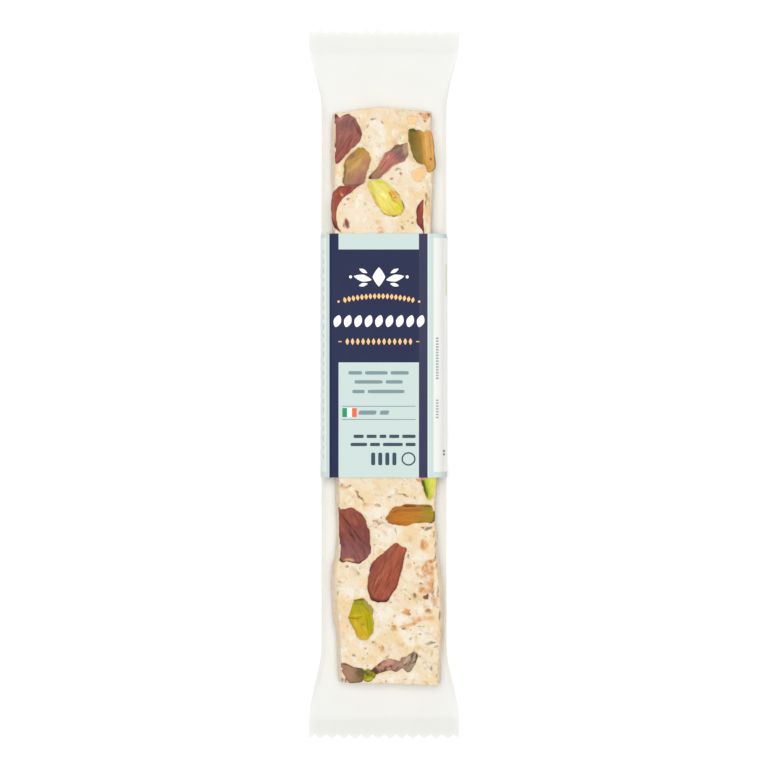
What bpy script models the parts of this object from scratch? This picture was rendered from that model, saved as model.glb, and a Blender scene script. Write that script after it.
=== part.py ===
"""A nougat bar sealed in a clear flow-wrap film, with a printed paper band round the middle.

The pack lies on its back, as on a table: X is its width, Y its length and +Z is up.
The origin is under the middle of the pack, on the table. Everything is in metres.
"""

import bmesh
import bpy
import numpy as np

MM = 0.001

# The bar inside, which gives the film its shape.
BAR_LENGTH = 192.2 * MM
BAR_WIDTH = 34.9 * MM
BAR_HEIGHT = 13.0 * MM
BAR_CENTRE_Y = -3.9 * MM

# The film: a tube round the bar, pressed flat at both ends and cut there in teeth.
PACK_LENGTH = 238.5 * MM
TUBE_WIDTH = 41.4 * MM
SEAL_WIDTH = 50.4 * MM
SEAL_LENGTH = 7.6 * MM
SEAL_THICKNESS = 0.5 * MM
SEAL_MIDDLE_Z = 6.2 * MM
SEAL_EDGE = 0.5 * MM
TOOTH_DEPTH = 1.5 * MM
TOOTH_MARGIN = 0.6 * MM
TOOTH_COUNT = 13
TENT_STRAIGHTNESS = 0.65

# The seam along the back, where the film's two edges are sealed and folded flat.
SEAM_TEETH_WIDE = 5
SEAM_THICKNESS = 0.3 * MM
SEAM_STEP = 0.002

# The paper band round the tube.
BAND_BOTTOM_Y = -31.1 * MM
BAND_TOP_Y = 50.0 * MM
BAND_THICKNESS = 0.2 * MM
GAP = 0.3 * MM

# How finely the sections are drawn.
COLUMNS_PER_HALF = TOOTH_COUNT
FINE_POINTS = 240
TENT_ROWS = 9
FLARE_ROWS = 4
TUBE_ROWS = 7
BAND_ROWS = 4
SHARP_EDGE = np.radians(35)

# Heights that follow from these. The band's underside is what the pack rests on.
TUBE_BOTTOM_Z = BAND_THICKNESS + GAP + SEAM_THICKNESS
TUBE_MIDDLE_Z = TUBE_BOTTOM_Z + BAR_HEIGHT / 2
HALF_PACK = PACK_LENGTH / 2
HALF_BAR = BAR_LENGTH / 2
SIDE_BULGE = (TUBE_WIDTH - BAR_WIDTH) / 2


class PackEnd:
    """One end of the film, along which distances are counted inwards from the tips of its teeth."""

    def __init__(self, direction, flare_from, flare_to):
        self.direction = direction
        self.flare_from = flare_from
        self.flare_to = flare_to
        self.bar_distance = HALF_PACK - HALF_BAR - direction * BAR_CENTRE_Y

    def half_width(self, distance):
        """The outline: the seal's width easing in to the tube's."""
        narrowed = smooth_step((distance - self.flare_from) / (self.flare_to - self.flare_from))
        return SEAL_WIDTH / 2 - narrowed * (SEAL_WIDTH - TUBE_WIDTH) / 2

    def rise(self, distance):
        """How far the film has opened: 0 in the flat seal and 1 from the end of the bar on."""
        opened = np.clip((distance - SEAL_LENGTH) / (self.bar_distance - SEAL_LENGTH), 0, 1)
        return TENT_STRAIGHTNESS * opened + (1 - TENT_STRAIGHTNESS) * smooth_step(opened)

    def y_at(self, distance):
        return self.direction * (HALF_PACK - distance)


FAR_END = PackEnd(direction=1, flare_from=3.5 * MM, flare_to=28.0 * MM)
NEAR_END = PackEnd(direction=-1, flare_from=6.0 * MM, flare_to=32.0 * MM)


def smooth_step(t):
    t = np.clip(t, 0, 1)
    return t * t * (3 - 2 * t)


def half_section(half_width, side, half_height, along):
    """Points on the upper half of a section, for positions from -1, its left edge, to 1, its right.

    The sheet is flat in the middle and turns down to its edges in quarter ellipses, each as wide
    as side. Positions are spaced by length along the sheet, as marks on the real film would be.
    """
    flat = half_width - side
    turn = np.linspace(0, np.pi / 2, FINE_POINTS)
    x = np.concatenate([[0], flat + side * np.sin(turn)])
    z = np.concatenate([[half_height], half_height * np.cos(turn)])
    length = np.concatenate([[0], np.cumsum(np.hypot(np.diff(x), np.diff(z)))])
    wanted = np.abs(along) * length[-1]
    return np.sign(along) * np.interp(wanted, length, x), np.interp(wanted, length, z)


def columns():
    """Positions across the sheet: one for each tip and valley of the teeth, and the seam's steps."""
    evenly = np.arange(-COLUMNS_PER_HALF, COLUMNS_PER_HALF + 1) / COLUMNS_PER_HALF
    seam_edge = -SEAM_TEETH_WIDE / COLUMNS_PER_HALF
    return np.sort(np.append(evenly, [-SEAM_STEP, seam_edge + SEAM_STEP]))


def seam_depth(along):
    """How far the folded seam stands out of the film's underside at each column."""
    seam_edge = -SEAM_TEETH_WIDE / COLUMNS_PER_HALF
    inside = (along < -SEAM_STEP / 2) & (along > seam_edge + SEAM_STEP / 2)
    return SEAM_THICKNESS * inside


def tooth_notch(along):
    """How far the cut lies inside the tips: none at every second column, the whole depth between."""
    steps = along * COLUMNS_PER_HALF + COLUMNS_PER_HALF
    return TOOTH_DEPTH * np.abs((steps + 1) % 2 - 1)


def film_ring(end, distance, toothed=False):
    """One closed section of the film: the upper sheet left to right, then the lower one back."""
    rise = end.rise(distance)
    half_width = end.half_width(distance)
    side = SEAL_EDGE + (half_width - BAR_WIDTH / 2 - SEAL_EDGE) * rise
    half_height = SEAL_THICKNESS / 2 + (BAR_HEIGHT - SEAL_THICKNESS) / 2 * rise
    middle = SEAL_MIDDLE_Z + (TUBE_MIDDLE_Z - SEAL_MIDDLE_Z) * rise
    along = columns()
    x, z = half_section(half_width, side, half_height, along)
    y = np.full_like(x, end.y_at(distance))
    if toothed:
        y = end.y_at(distance + tooth_notch(along))
    upper = np.column_stack([x, y, middle + z])
    lower = np.column_stack([x, y, middle - z - seam_depth(along)])
    return np.concatenate([upper, lower[-2:0:-1]])


def end_rings(end):
    """The sections of one end, from its teeth to where its outline has become the tube's."""
    below_teeth = TOOTH_DEPTH + TOOTH_MARGIN
    tent = np.linspace(SEAL_LENGTH, end.bar_distance, TENT_ROWS + 1)
    flare = np.linspace(end.bar_distance, end.flare_to, FLARE_ROWS + 1)[1:]
    rings = [film_ring(end, 0.0, toothed=True)]
    rings += [film_ring(end, distance) for distance in [below_teeth, *tent, *flare]]
    return rings


def tube_rings():
    """The sections of the straight tube between the two ends."""
    from_y = NEAR_END.y_at(NEAR_END.flare_to)
    to_y = FAR_END.y_at(FAR_END.flare_to)
    stations = np.linspace(from_y, to_y, TUBE_ROWS + 2)[1:-1]
    return [film_ring(FAR_END, HALF_PACK - y) for y in stations]


def band_ring(outwards_by, y):
    """A section round the tube, standing off it by the same distance all round and past the seam."""
    half_height = (BAR_HEIGHT + SEAM_THICKNESS) / 2 + outwards_by
    half_width = TUBE_WIDTH / 2 + outwards_by
    side = SIDE_BULGE + outwards_by
    along = np.arange(-COLUMNS_PER_HALF, COLUMNS_PER_HALF + 1) / COLUMNS_PER_HALF
    x, z = half_section(half_width, side, half_height, along)
    middle = TUBE_MIDDLE_Z - SEAM_THICKNESS / 2
    upper = np.column_stack([x, np.full_like(x, y), middle + z])
    lower = np.column_stack([x, np.full_like(x, y), middle - z])
    return np.concatenate([upper, lower[-2:0:-1]])


def add_ring(shape, points):
    return [shape.verts.new(point) for point in points]


def bridge(shape, first, second):
    """Quads between two rings of as many points."""
    for i in range(len(first)):
        j = (i + 1) % len(first)
        shape.faces.new([first[i], first[j], second[j], second[i]])


def close_flat(shape, ring):
    """Closes an end ring with strips from its upper sheet to its lower one."""
    count = len(ring)
    for i in range(count // 2):
        corners = [ring[i], ring[i + 1], ring[-i - 1], ring[-i % count]]
        shape.faces.new(dict.fromkeys(corners))


def finish_object(name, shape, material):
    """Turns the faces outwards and puts the shape into the scene as one smooth-shaded object."""
    bmesh.ops.recalc_face_normals(shape, faces=shape.faces)
    mesh = bpy.data.meshes.new(name)
    shape.to_mesh(mesh)
    shape.free()
    mesh.materials.append(material)
    mesh.shade_smooth()
    mesh.set_sharp_from_angle(angle=SHARP_EDGE)
    placed = bpy.data.objects.new(name, mesh)
    bpy.context.scene.collection.objects.link(placed)
    return placed


def make_material(name, color, roughness, alpha=1.0):
    material = bpy.data.materials.new(name)
    material.use_nodes = True
    shader = material.node_tree.nodes["Principled BSDF"]
    shader.inputs["Base Color"].default_value = (*color, 1.0)
    shader.inputs["Roughness"].default_value = roughness
    shader.inputs["Metallic"].default_value = 0.0
    shader.inputs["Alpha"].default_value = alpha
    return material


def make_film_wrap():
    """The sealed film with the bar in it, as one solid."""
    shape = bmesh.new()
    rings = end_rings(NEAR_END) + tube_rings() + end_rings(FAR_END)[::-1]
    rows = [add_ring(shape, ring) for ring in rings]
    for first, second in zip(rows, rows[1:]):
        bridge(shape, first, second)
    close_flat(shape, rows[0])
    close_flat(shape, rows[-1])
    film = make_material("clear_film", color=(0.86, 0.86, 0.82), roughness=0.25, alpha=0.4)
    return finish_object("film_wrap", shape, film)


def make_label_band():
    """The printed paper band, an open sleeve with a wall of even thickness."""
    shape = bmesh.new()
    stations = np.linspace(BAND_BOTTOM_Y, BAND_TOP_Y, BAND_ROWS + 1)
    inner = [add_ring(shape, band_ring(GAP, y)) for y in stations]
    outer = [add_ring(shape, band_ring(GAP + BAND_THICKNESS, y)) for y in stations]
    for wall in (inner, outer):
        for first, second in zip(wall, wall[1:]):
            bridge(shape, first, second)
    bridge(shape, inner[0], outer[0])
    bridge(shape, inner[-1], outer[-1])
    paper = make_material("printed_paper", color=(0.035, 0.042, 0.10), roughness=0.45)
    return finish_object("label_band", shape, paper)


def main():
    for old in list(bpy.data.objects):
        bpy.data.objects.remove(old)
    make_film_wrap()
    make_label_band()


main()
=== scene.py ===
"""A nougat bar with almonds and pistachios, in clear sealed film with a printed paper band round it.

Lengths are in metres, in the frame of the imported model: +Y runs along the bar and +Z is up. The
small places on the bar and on the band are written in millimetres and scaled once, by MM.
"""

import sys
import logging
import math
from dataclasses import dataclass
from enum import Enum
from typing import Any, Iterable, Sequence

import bmesh
import bpy
import numpy as np
from numpy.typing import NDArray
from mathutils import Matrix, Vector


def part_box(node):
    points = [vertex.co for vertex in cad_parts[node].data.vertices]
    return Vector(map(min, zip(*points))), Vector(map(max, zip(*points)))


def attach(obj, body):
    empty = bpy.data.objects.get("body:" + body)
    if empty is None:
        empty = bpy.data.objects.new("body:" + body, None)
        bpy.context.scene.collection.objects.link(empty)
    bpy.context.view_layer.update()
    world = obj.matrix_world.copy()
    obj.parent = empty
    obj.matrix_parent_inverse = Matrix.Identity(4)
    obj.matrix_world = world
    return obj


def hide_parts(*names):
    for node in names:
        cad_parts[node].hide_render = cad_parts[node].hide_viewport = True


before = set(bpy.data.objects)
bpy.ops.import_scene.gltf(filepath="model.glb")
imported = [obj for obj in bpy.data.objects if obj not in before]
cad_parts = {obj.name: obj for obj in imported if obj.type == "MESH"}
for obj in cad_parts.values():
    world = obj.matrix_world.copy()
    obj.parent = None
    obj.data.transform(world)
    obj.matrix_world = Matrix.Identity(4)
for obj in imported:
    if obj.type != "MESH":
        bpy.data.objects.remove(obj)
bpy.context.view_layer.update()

Array = NDArray[np.float64]
Colour = tuple[float, float, float]
Point = tuple[float, float]

MM = 0.001
BODY = "root"
NOISE_PERIOD = 256
SECTION_FINE = 1200

log = logging.getLogger("nougat_bar")


class Slot(Enum):
    """The record's material slots."""

    FILM = "film"
    LABEL = "label"
    NOUGAT = "nougat"
    ALMOND = "almond"
    PISTACHIO = "pistachio"


# ---------------------------------------------------------------------------------------------
# Numbers, curves and noise
# ---------------------------------------------------------------------------------------------


def smooth_step(t: Array | float) -> Array:
    """Eases from 0 to 1: 3t^2 - 2t^3, with t held between 0 and 1."""
    t = np.clip(t, 0, 1)
    return t * t * (3 - 2 * t)


def linear(colour: Colour) -> Colour:
    """A colour given as 0 to 255 screen values, as the linear light that shaders use."""
    values = np.asarray(colour, float) / 255
    low = values / 12.92
    high = ((values + 0.055) / 1.055) ** 2.4
    return tuple(float(v) for v in np.where(values <= 0.04045, low, high))


def quarter_turn(half_width: float, side: float, half_height: float, along: Array) -> tuple[Array, Array]:
    """The upper half of a flat tube's section.

    The sheet is flat in the middle and turns down to each edge in a quarter ellipse: x is flat +
    side * sin(t) and z is half_height * cos(t). Positions are spaced by length along the sheet.

    Args:
        half_width: from the middle to the edge.
        side: how wide the turned part is.
        half_height: how far the flat part stands over the edge.
        along: positions from -1, the left edge, to 1, the right edge.

    Returns:
        The x and z of each position.
    """
    flat = half_width - side
    turn = np.linspace(0, np.pi / 2, 200)
    x = np.concatenate([[0], flat + side * np.sin(turn)])
    z = np.concatenate([[half_height], half_height * np.cos(turn)])
    length = np.concatenate([[0], np.cumsum(np.hypot(np.diff(x), np.diff(z)))])
    wanted = np.abs(along) * length[-1]
    return np.sign(along) * np.interp(wanted, length, x), np.interp(wanted, length, z)


class LatticeNoise:
    """Smooth random values in space, mixed from random numbers at the corners of a cubic lattice."""

    def __init__(self, seed: int) -> None:
        """Draws the corner values from one seed."""
        draws = np.random.default_rng(seed)
        self.order = draws.permutation(NOISE_PERIOD)
        self.values = draws.uniform(-1, 1, NOISE_PERIOD)

    def corner(self, cell: NDArray[np.int64]) -> Array:
        """The random number of each lattice corner, found by three looks into the shuffled table."""
        first = self.order[cell[..., 0] % NOISE_PERIOD]
        second = self.order[(first + cell[..., 1]) % NOISE_PERIOD]
        third = self.order[(second + cell[..., 2]) % NOISE_PERIOD]
        return self.values[third]

    def at(self, points: Array, size: float) -> Array:
        """The noise at each point.

        Each value is the sum over the cell's eight corners of the corner's number times the
        product of its eased nearness, 6t^5 - 15t^4 + 10t^3, along each axis.

        Args:
            points: places, with x, y and z last.
            size: the width of one lattice cell.

        Returns:
            Values between -1 and 1.
        """
        scaled = points / size
        cell = np.floor(scaled).astype(np.int64)
        t = scaled - cell
        eased = t * t * t * (t * (6 * t - 15) + 10)
        total = np.zeros(points.shape[:-1])
        for offset in np.ndindex(2, 2, 2):
            near = np.where(np.array(offset) == 1, eased, 1 - eased)
            total += near.prod(axis=-1) * self.corner(cell + np.array(offset))
        return total

    def layered(self, points: Array, size: float, layers: int = 3, fade: float = 0.5) -> Array:
        """Sums layers of noise, each half as coarse as the one before and fade times as strong."""
        total = np.zeros(points.shape[:-1])
        for layer in range(layers):
            total += fade**layer * self.at(points + 7.3 * layer * size, size / 2**layer)
        return total


@dataclass(frozen=True)
class Outline:
    """A closed smooth curve round its middle, drawn through a few points in millimetres."""

    points: tuple[Point, ...]

    @classmethod
    def oval(cls, middle: Point, length: float, width: float, degrees: float, blunt: float = 0.15) -> "Outline":
        """An egg shape: x is length/2 cos t and y is width/2 sin t (1 + blunt cos t), then turned."""
        t = np.linspace(0, 2 * np.pi, 9)[:-1]
        x = length / 2 * np.cos(t)
        y = width / 2 * np.sin(t) * (1 + blunt * np.cos(t))
        turn = math.radians(degrees)
        across = middle[0] + x * math.cos(turn) - y * math.sin(turn)
        up = middle[1] + x * math.sin(turn) + y * math.cos(turn)
        return cls(tuple(zip(across.tolist(), up.tolist())))

    def curve(self) -> Array:
        """The curve through the points, with sixteen steps between each two.

        Between points b and c it eases from one to the other with the slopes s and e there, which
        are 0.35 of the way between each point's neighbours: a place t of the way along is
        b + st + (3c - 3b - 2s - e)t^2 + (2b - 2c + s + e)t^3.
        """
        b = np.array(self.points)[:, None, :]
        slope = 0.35 * (np.roll(b, -1, axis=0) - np.roll(b, 1, axis=0))
        c, end = np.roll(b, -1, axis=0), np.roll(slope, -1, axis=0)
        t = np.linspace(0, 1, 17)[:-1][None, :, None]
        bend = b + slope * t + (3 * c - 3 * b - 2 * slope - end) * t**2
        return (bend + (2 * b - 2 * c + slope + end) * t**3).reshape(-1, 2)

    def middle(self) -> Array:
        """The mean of the curve's highest and lowest corners."""
        curve = self.curve()
        return (curve.min(axis=0) + curve.max(axis=0)) / 2

    def reach(self, angles: Array) -> Array:
        """How far the curve lies from its middle in each direction, in millimetres."""
        spokes = self.curve() - self.middle()
        around = np.arctan2(spokes[:, 1], spokes[:, 0])
        order = np.argsort(around)
        return np.interp(angles, around[order], np.hypot(*spokes.T)[order], period=2 * np.pi)

    def outside(self, places: Array) -> Array:
        """How far each place in millimetres lies beyond the curve, and below 0 inside it."""
        spokes = places - self.middle()
        return np.hypot(spokes[..., 0], spokes[..., 1]) - self.reach(np.arctan2(spokes[..., 1], spokes[..., 0]))


# ---------------------------------------------------------------------------------------------
# Meshes
# ---------------------------------------------------------------------------------------------


def grid_faces(rows: int, columns: int, wrap: bool = False) -> NDArray[np.int64]:
    """Quads over a grid of points in row order.

    Args:
        rows: number of rows.
        columns: number of points in a row.
        wrap: whether the last column joins the first.

    Returns:
        Four point numbers for each quad, anticlockwise where rows run up and columns run right.
    """
    i, j = np.meshgrid(np.arange(rows - 1), np.arange(columns if wrap else columns - 1), indexing="ij")
    start = i * columns + j
    across = i * columns + (j + 1) % columns
    return np.stack([start, across, across + columns, start + columns], axis=-1).reshape(-1, 4)


@dataclass
class Shape:
    """The points and faces of a piece, and what its material reads at each point."""

    points: Array
    faces: list[Sequence[int]]
    shades: Array | None = None
    measures: dict[str, Array] | None = None
    places: Array | None = None
    inks: Array | None = None

    @staticmethod
    def joined(shapes: "Iterable[Shape]") -> "Shape":
        """One shape from several that all carry the same kinds of values."""
        parts = list(shapes)
        starts = np.cumsum([0] + [len(part.points) for part in parts])
        faces = [tuple(int(i) + int(start) for i in face) for part, start in zip(parts, starts) for face in part.faces]
        shades = None if parts[0].shades is None else np.concatenate([part.shades for part in parts])
        places = None if parts[0].places is None else np.concatenate([part.places for part in parts])
        names = parts[0].measures or {}
        measures = {name: np.concatenate([part.measures[name] for part in parts]) for name in names}
        return Shape(np.concatenate([part.points for part in parts]), faces, shades, measures, places)


def turn_outwards(mesh: bpy.types.Mesh) -> None:
    """Makes every face of a closed mesh point outwards."""
    work = bmesh.new()
    work.from_mesh(mesh)
    bmesh.ops.recalc_face_normals(work, faces=work.faces)
    work.to_mesh(mesh)
    work.free()


def add_piece(
    name: str,
    shape: Shape,
    finishes: Sequence[bpy.types.Material],
    slot: Slot,
    replaces: str = "",
    sharp: float = 40.0,
) -> bpy.types.Object:
    """Puts a shape into the scene as a piece of the object.

    Args:
        name: the piece's name.
        shape: its points, faces and values.
        finishes: its materials, chosen between by shape.inks.
        slot: the record's slot that its finish belongs to, which is only written to the log.
        replaces: the CAD node that it stands for, if any.
        sharp: edges that turn by more degrees than this stay crisp.

    Returns:
        The new object.
    """
    mesh = bpy.data.meshes.new(name)
    mesh.from_pydata(shape.points.tolist(), [], [tuple(int(i) for i in face) for face in shape.faces])
    for finish in finishes:
        mesh.materials.append(finish)
    if shape.inks is not None:
        mesh.polygons.foreach_set("material_index", shape.inks.astype(np.int32))
    if shape.shades is not None:
        layer = mesh.color_attributes.new("tint", "FLOAT_COLOR", "POINT")
        layer.data.foreach_set("color", np.column_stack([shape.shades, np.ones(len(shape.shades))]).ravel())
    for label, values in (shape.measures or {}).items():
        mesh.attributes.new(label, "FLOAT", "POINT").data.foreach_set("value", values.ravel())
    if shape.places is not None:
        corners = np.empty(len(mesh.loops), np.int32)
        mesh.loops.foreach_get("vertex_index", corners)
        mesh.uv_layers.new(name="UVMap").data.foreach_set("uv", shape.places[corners].ravel())
    turn_outwards(mesh)
    mesh.shade_smooth()
    mesh.set_sharp_from_angle(angle=math.radians(sharp))
    piece = bpy.data.objects.new(name, mesh)
    bpy.context.scene.collection.objects.link(piece)
    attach(piece, BODY)
    if replaces:
        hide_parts(replaces)
    triangles = sum(len(face) - 2 for face in shape.faces)
    log.info("%s: %d points, %d triangles, slot %s", name, len(shape.points), triangles, slot.value)
    return piece


# ---------------------------------------------------------------------------------------------
# Finishes
# ---------------------------------------------------------------------------------------------


class NodeGraph:
    """The node tree of one finish, built up node by node."""

    def __init__(self, name: str) -> None:
        """Starts an empty tree under a new material of this name."""
        self.material = bpy.data.materials.new(name)
        self.material.use_nodes = True
        self.tree = self.material.node_tree
        self.tree.nodes.clear()

    def node(self, kind: str, inputs: dict[Any, Any] | None = None, **settings: Any) -> bpy.types.Node:
        """Adds a node.

        Args:
            kind: the node's type name.
            inputs: a number, a colour or another node's output for each input, by name or place.
            settings: the node's own properties.

        Returns:
            The new node.
        """
        made = self.tree.nodes.new(kind)
        for name, value in settings.items():
            setattr(made, name, value)
        for key, value in (inputs or {}).items():
            if isinstance(value, bpy.types.NodeSocket):
                self.tree.links.new(value, made.inputs[key])
            else:
                made.inputs[key].default_value = value
        return made

    def position(self) -> Any:
        """The place on the piece, in metres."""
        return self.node("ShaderNodeTexCoord").outputs["Object"]

    def along_surface(self) -> Any:
        """The place in the piece's own flat map, in millimetres."""
        return self.node("ShaderNodeTexCoord").outputs["UV"]

    def value_of(self, name: str) -> Any:
        """A measured value stored at the points."""
        return self.node("ShaderNodeAttribute", attribute_name=name).outputs["Fac"]

    def colour_of(self, name: str) -> Any:
        """A colour stored at the points."""
        return self.node("ShaderNodeAttribute", attribute_name=name).outputs["Color"]

    def stretched(self, vector: Any, scale: Sequence[float], turn: Sequence[float] = (0.0, 0.0, 0.0)) -> Any:
        """The vector with each part scaled, and then turned by the angles in radians."""
        inputs = {"Vector": vector, "Scale": tuple(scale), "Rotation": tuple(turn)}
        return self.node("ShaderNodeMapping", inputs).outputs["Vector"]

    def noise(self, vector: Any, scale: float, detail: float = 2.0, rough: float = 0.5) -> Any:
        """Soft noise from 0 to 1, with one lump in each 1/scale of the vector."""
        inputs = {"Vector": vector, "Scale": scale, "Detail": detail, "Roughness": rough}
        return self.node("ShaderNodeTexNoise", inputs).outputs["Fac"]

    def between(self, value: Any, low: float, high: float) -> Any:
        """Eases from 0 where the value is low to 1 where it is high."""
        inputs = {"Value": value, "From Min": low, "From Max": high}
        node = self.node("ShaderNodeMapRange", inputs, interpolation_type="SMOOTHSTEP", clamp=True)
        return node.outputs["Result"]

    def maths(self, operation: str, first: Any, second: Any = 0.0, held: bool = False) -> Any:
        """A sum, product or the like of two values, held between 0 and 1 if wanted."""
        return self.node("ShaderNodeMath", {0: first, 1: second}, operation=operation, use_clamp=held).outputs[0]

    def mixed(self, factor: Any, first: Any, second: Any, blend: str = "MIX") -> Any:
        """The first colour where the factor is 0 and the second where it is 1."""
        inputs = {0: factor, 6: first, 7: second}
        return self.node("ShaderNodeMix", inputs, data_type="RGBA", blend_type=blend).outputs[2]

    def bump(self, height: Any, depth: float, strength: float = 1.0, under: Any = None) -> Any:
        """The normal of a surface whose relief is height times depth, over another relief if given."""
        inputs = {"Height": height, "Distance": depth, "Strength": strength}
        if under is not None:
            inputs["Normal"] = under
        return self.node("ShaderNodeBump", inputs).outputs["Normal"]

    def principled(self, **inputs: Any) -> bpy.types.Node:
        """The main shader, with inputs named by their words joined with underscores."""
        return self.node("ShaderNodeBsdfPrincipled", {key.replace("_", " "): value for key, value in inputs.items()})

    def finished(self, shader: Any) -> bpy.types.Material:
        """Sends the shader to the output and gives the material."""
        self.node("ShaderNodeOutputMaterial", {"Surface": shader})
        return self.material


def opaque(colour: Colour) -> tuple[float, float, float, float]:
    """A screen colour as linear light with full cover."""
    return (*linear(colour), 1.0)


@dataclass(frozen=True)
class FilmFinish:
    """Clear glossy film, faintly tinted and hazy, which covers more where it is seen edge on."""

    passed: Colour = (248.4, 248.8, 248.5)
    haze: float = 0.005
    seal_haze: float = 0.05
    edge_cover: float = 0.3
    body: Colour = (216, 215, 201)
    roughness: float = 0.14

    def build(self, name: str) -> bpy.types.Material:
        """Film as a mix of a tinted clear sheet and a glossy pale one, by haze plus edge cover."""
        graph = NodeGraph(name)
        place = graph.position()
        clouds = graph.between(graph.noise(place, 70.0, 3.0), 0.3, 0.7)
        cover = graph.maths("ADD", graph.maths("MULTIPLY", clouds, 0.3 * self.haze), self.haze)
        sealed = graph.maths("MULTIPLY", graph.value_of("seal"), self.seal_haze)
        facing = graph.node("ShaderNodeLayerWeight", {"Blend": 0.5}).outputs["Facing"]
        edge = graph.maths("MULTIPLY", graph.maths("POWER", facing, 3.0), self.edge_cover)
        share = graph.maths("ADD", graph.maths("ADD", cover, sealed), edge, held=True)
        ripple = graph.noise(graph.stretched(place, (1.0, 0.35, 1.0)), 160.0, 2.0)
        sheet = graph.principled(
            Base_Color=opaque(self.body),
            Roughness=self.roughness,
            IOR=1.45,
            Normal=graph.bump(ripple, 0.00012, 0.35),
        )
        clear = graph.node("ShaderNodeBsdfTransparent", {"Color": opaque(self.passed)})
        inputs = {0: share, 1: clear.outputs[0], 2: sheet.outputs[0]}
        return graph.finished(graph.node("ShaderNodeMixShader", inputs).outputs[0])


@dataclass(frozen=True)
class PaperFinish:
    """Satin paper with one printed colour."""

    ink: Colour
    roughness: float = 0.42
    fleck: float = 0.02

    def build(self, name: str) -> bpy.types.Material:
        """The ink a little uneven in strength, over a fine paper tooth."""
        graph = NodeGraph(name)
        place = graph.position()
        cloud = graph.noise(place, 120.0, 3.0)
        tooth = graph.noise(place, 5200.0, 2.0)
        strength = graph.maths("MULTIPLY", graph.maths("SUBTRACT", cloud, 0.5), 4 * self.fleck)
        shade = graph.maths("ADD", strength, graph.maths("MULTIPLY", tooth, self.fleck))
        darker = tuple(channel * 0.82 for channel in linear(self.ink))
        colour = graph.mixed(graph.maths("ADD", shade, 0.2 * self.fleck, held=True), opaque(self.ink), (*darker, 1.0))
        rough = graph.maths("ADD", graph.maths("MULTIPLY", cloud, 0.1), self.roughness - 0.05)
        shader = graph.principled(
            Base_Color=colour,
            Roughness=rough,
            Specular_IOR_Level=0.04,
            Normal=graph.bump(tooth, 0.000012, 0.5),
        )
        return graph.finished(shader.outputs[0])


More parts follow.
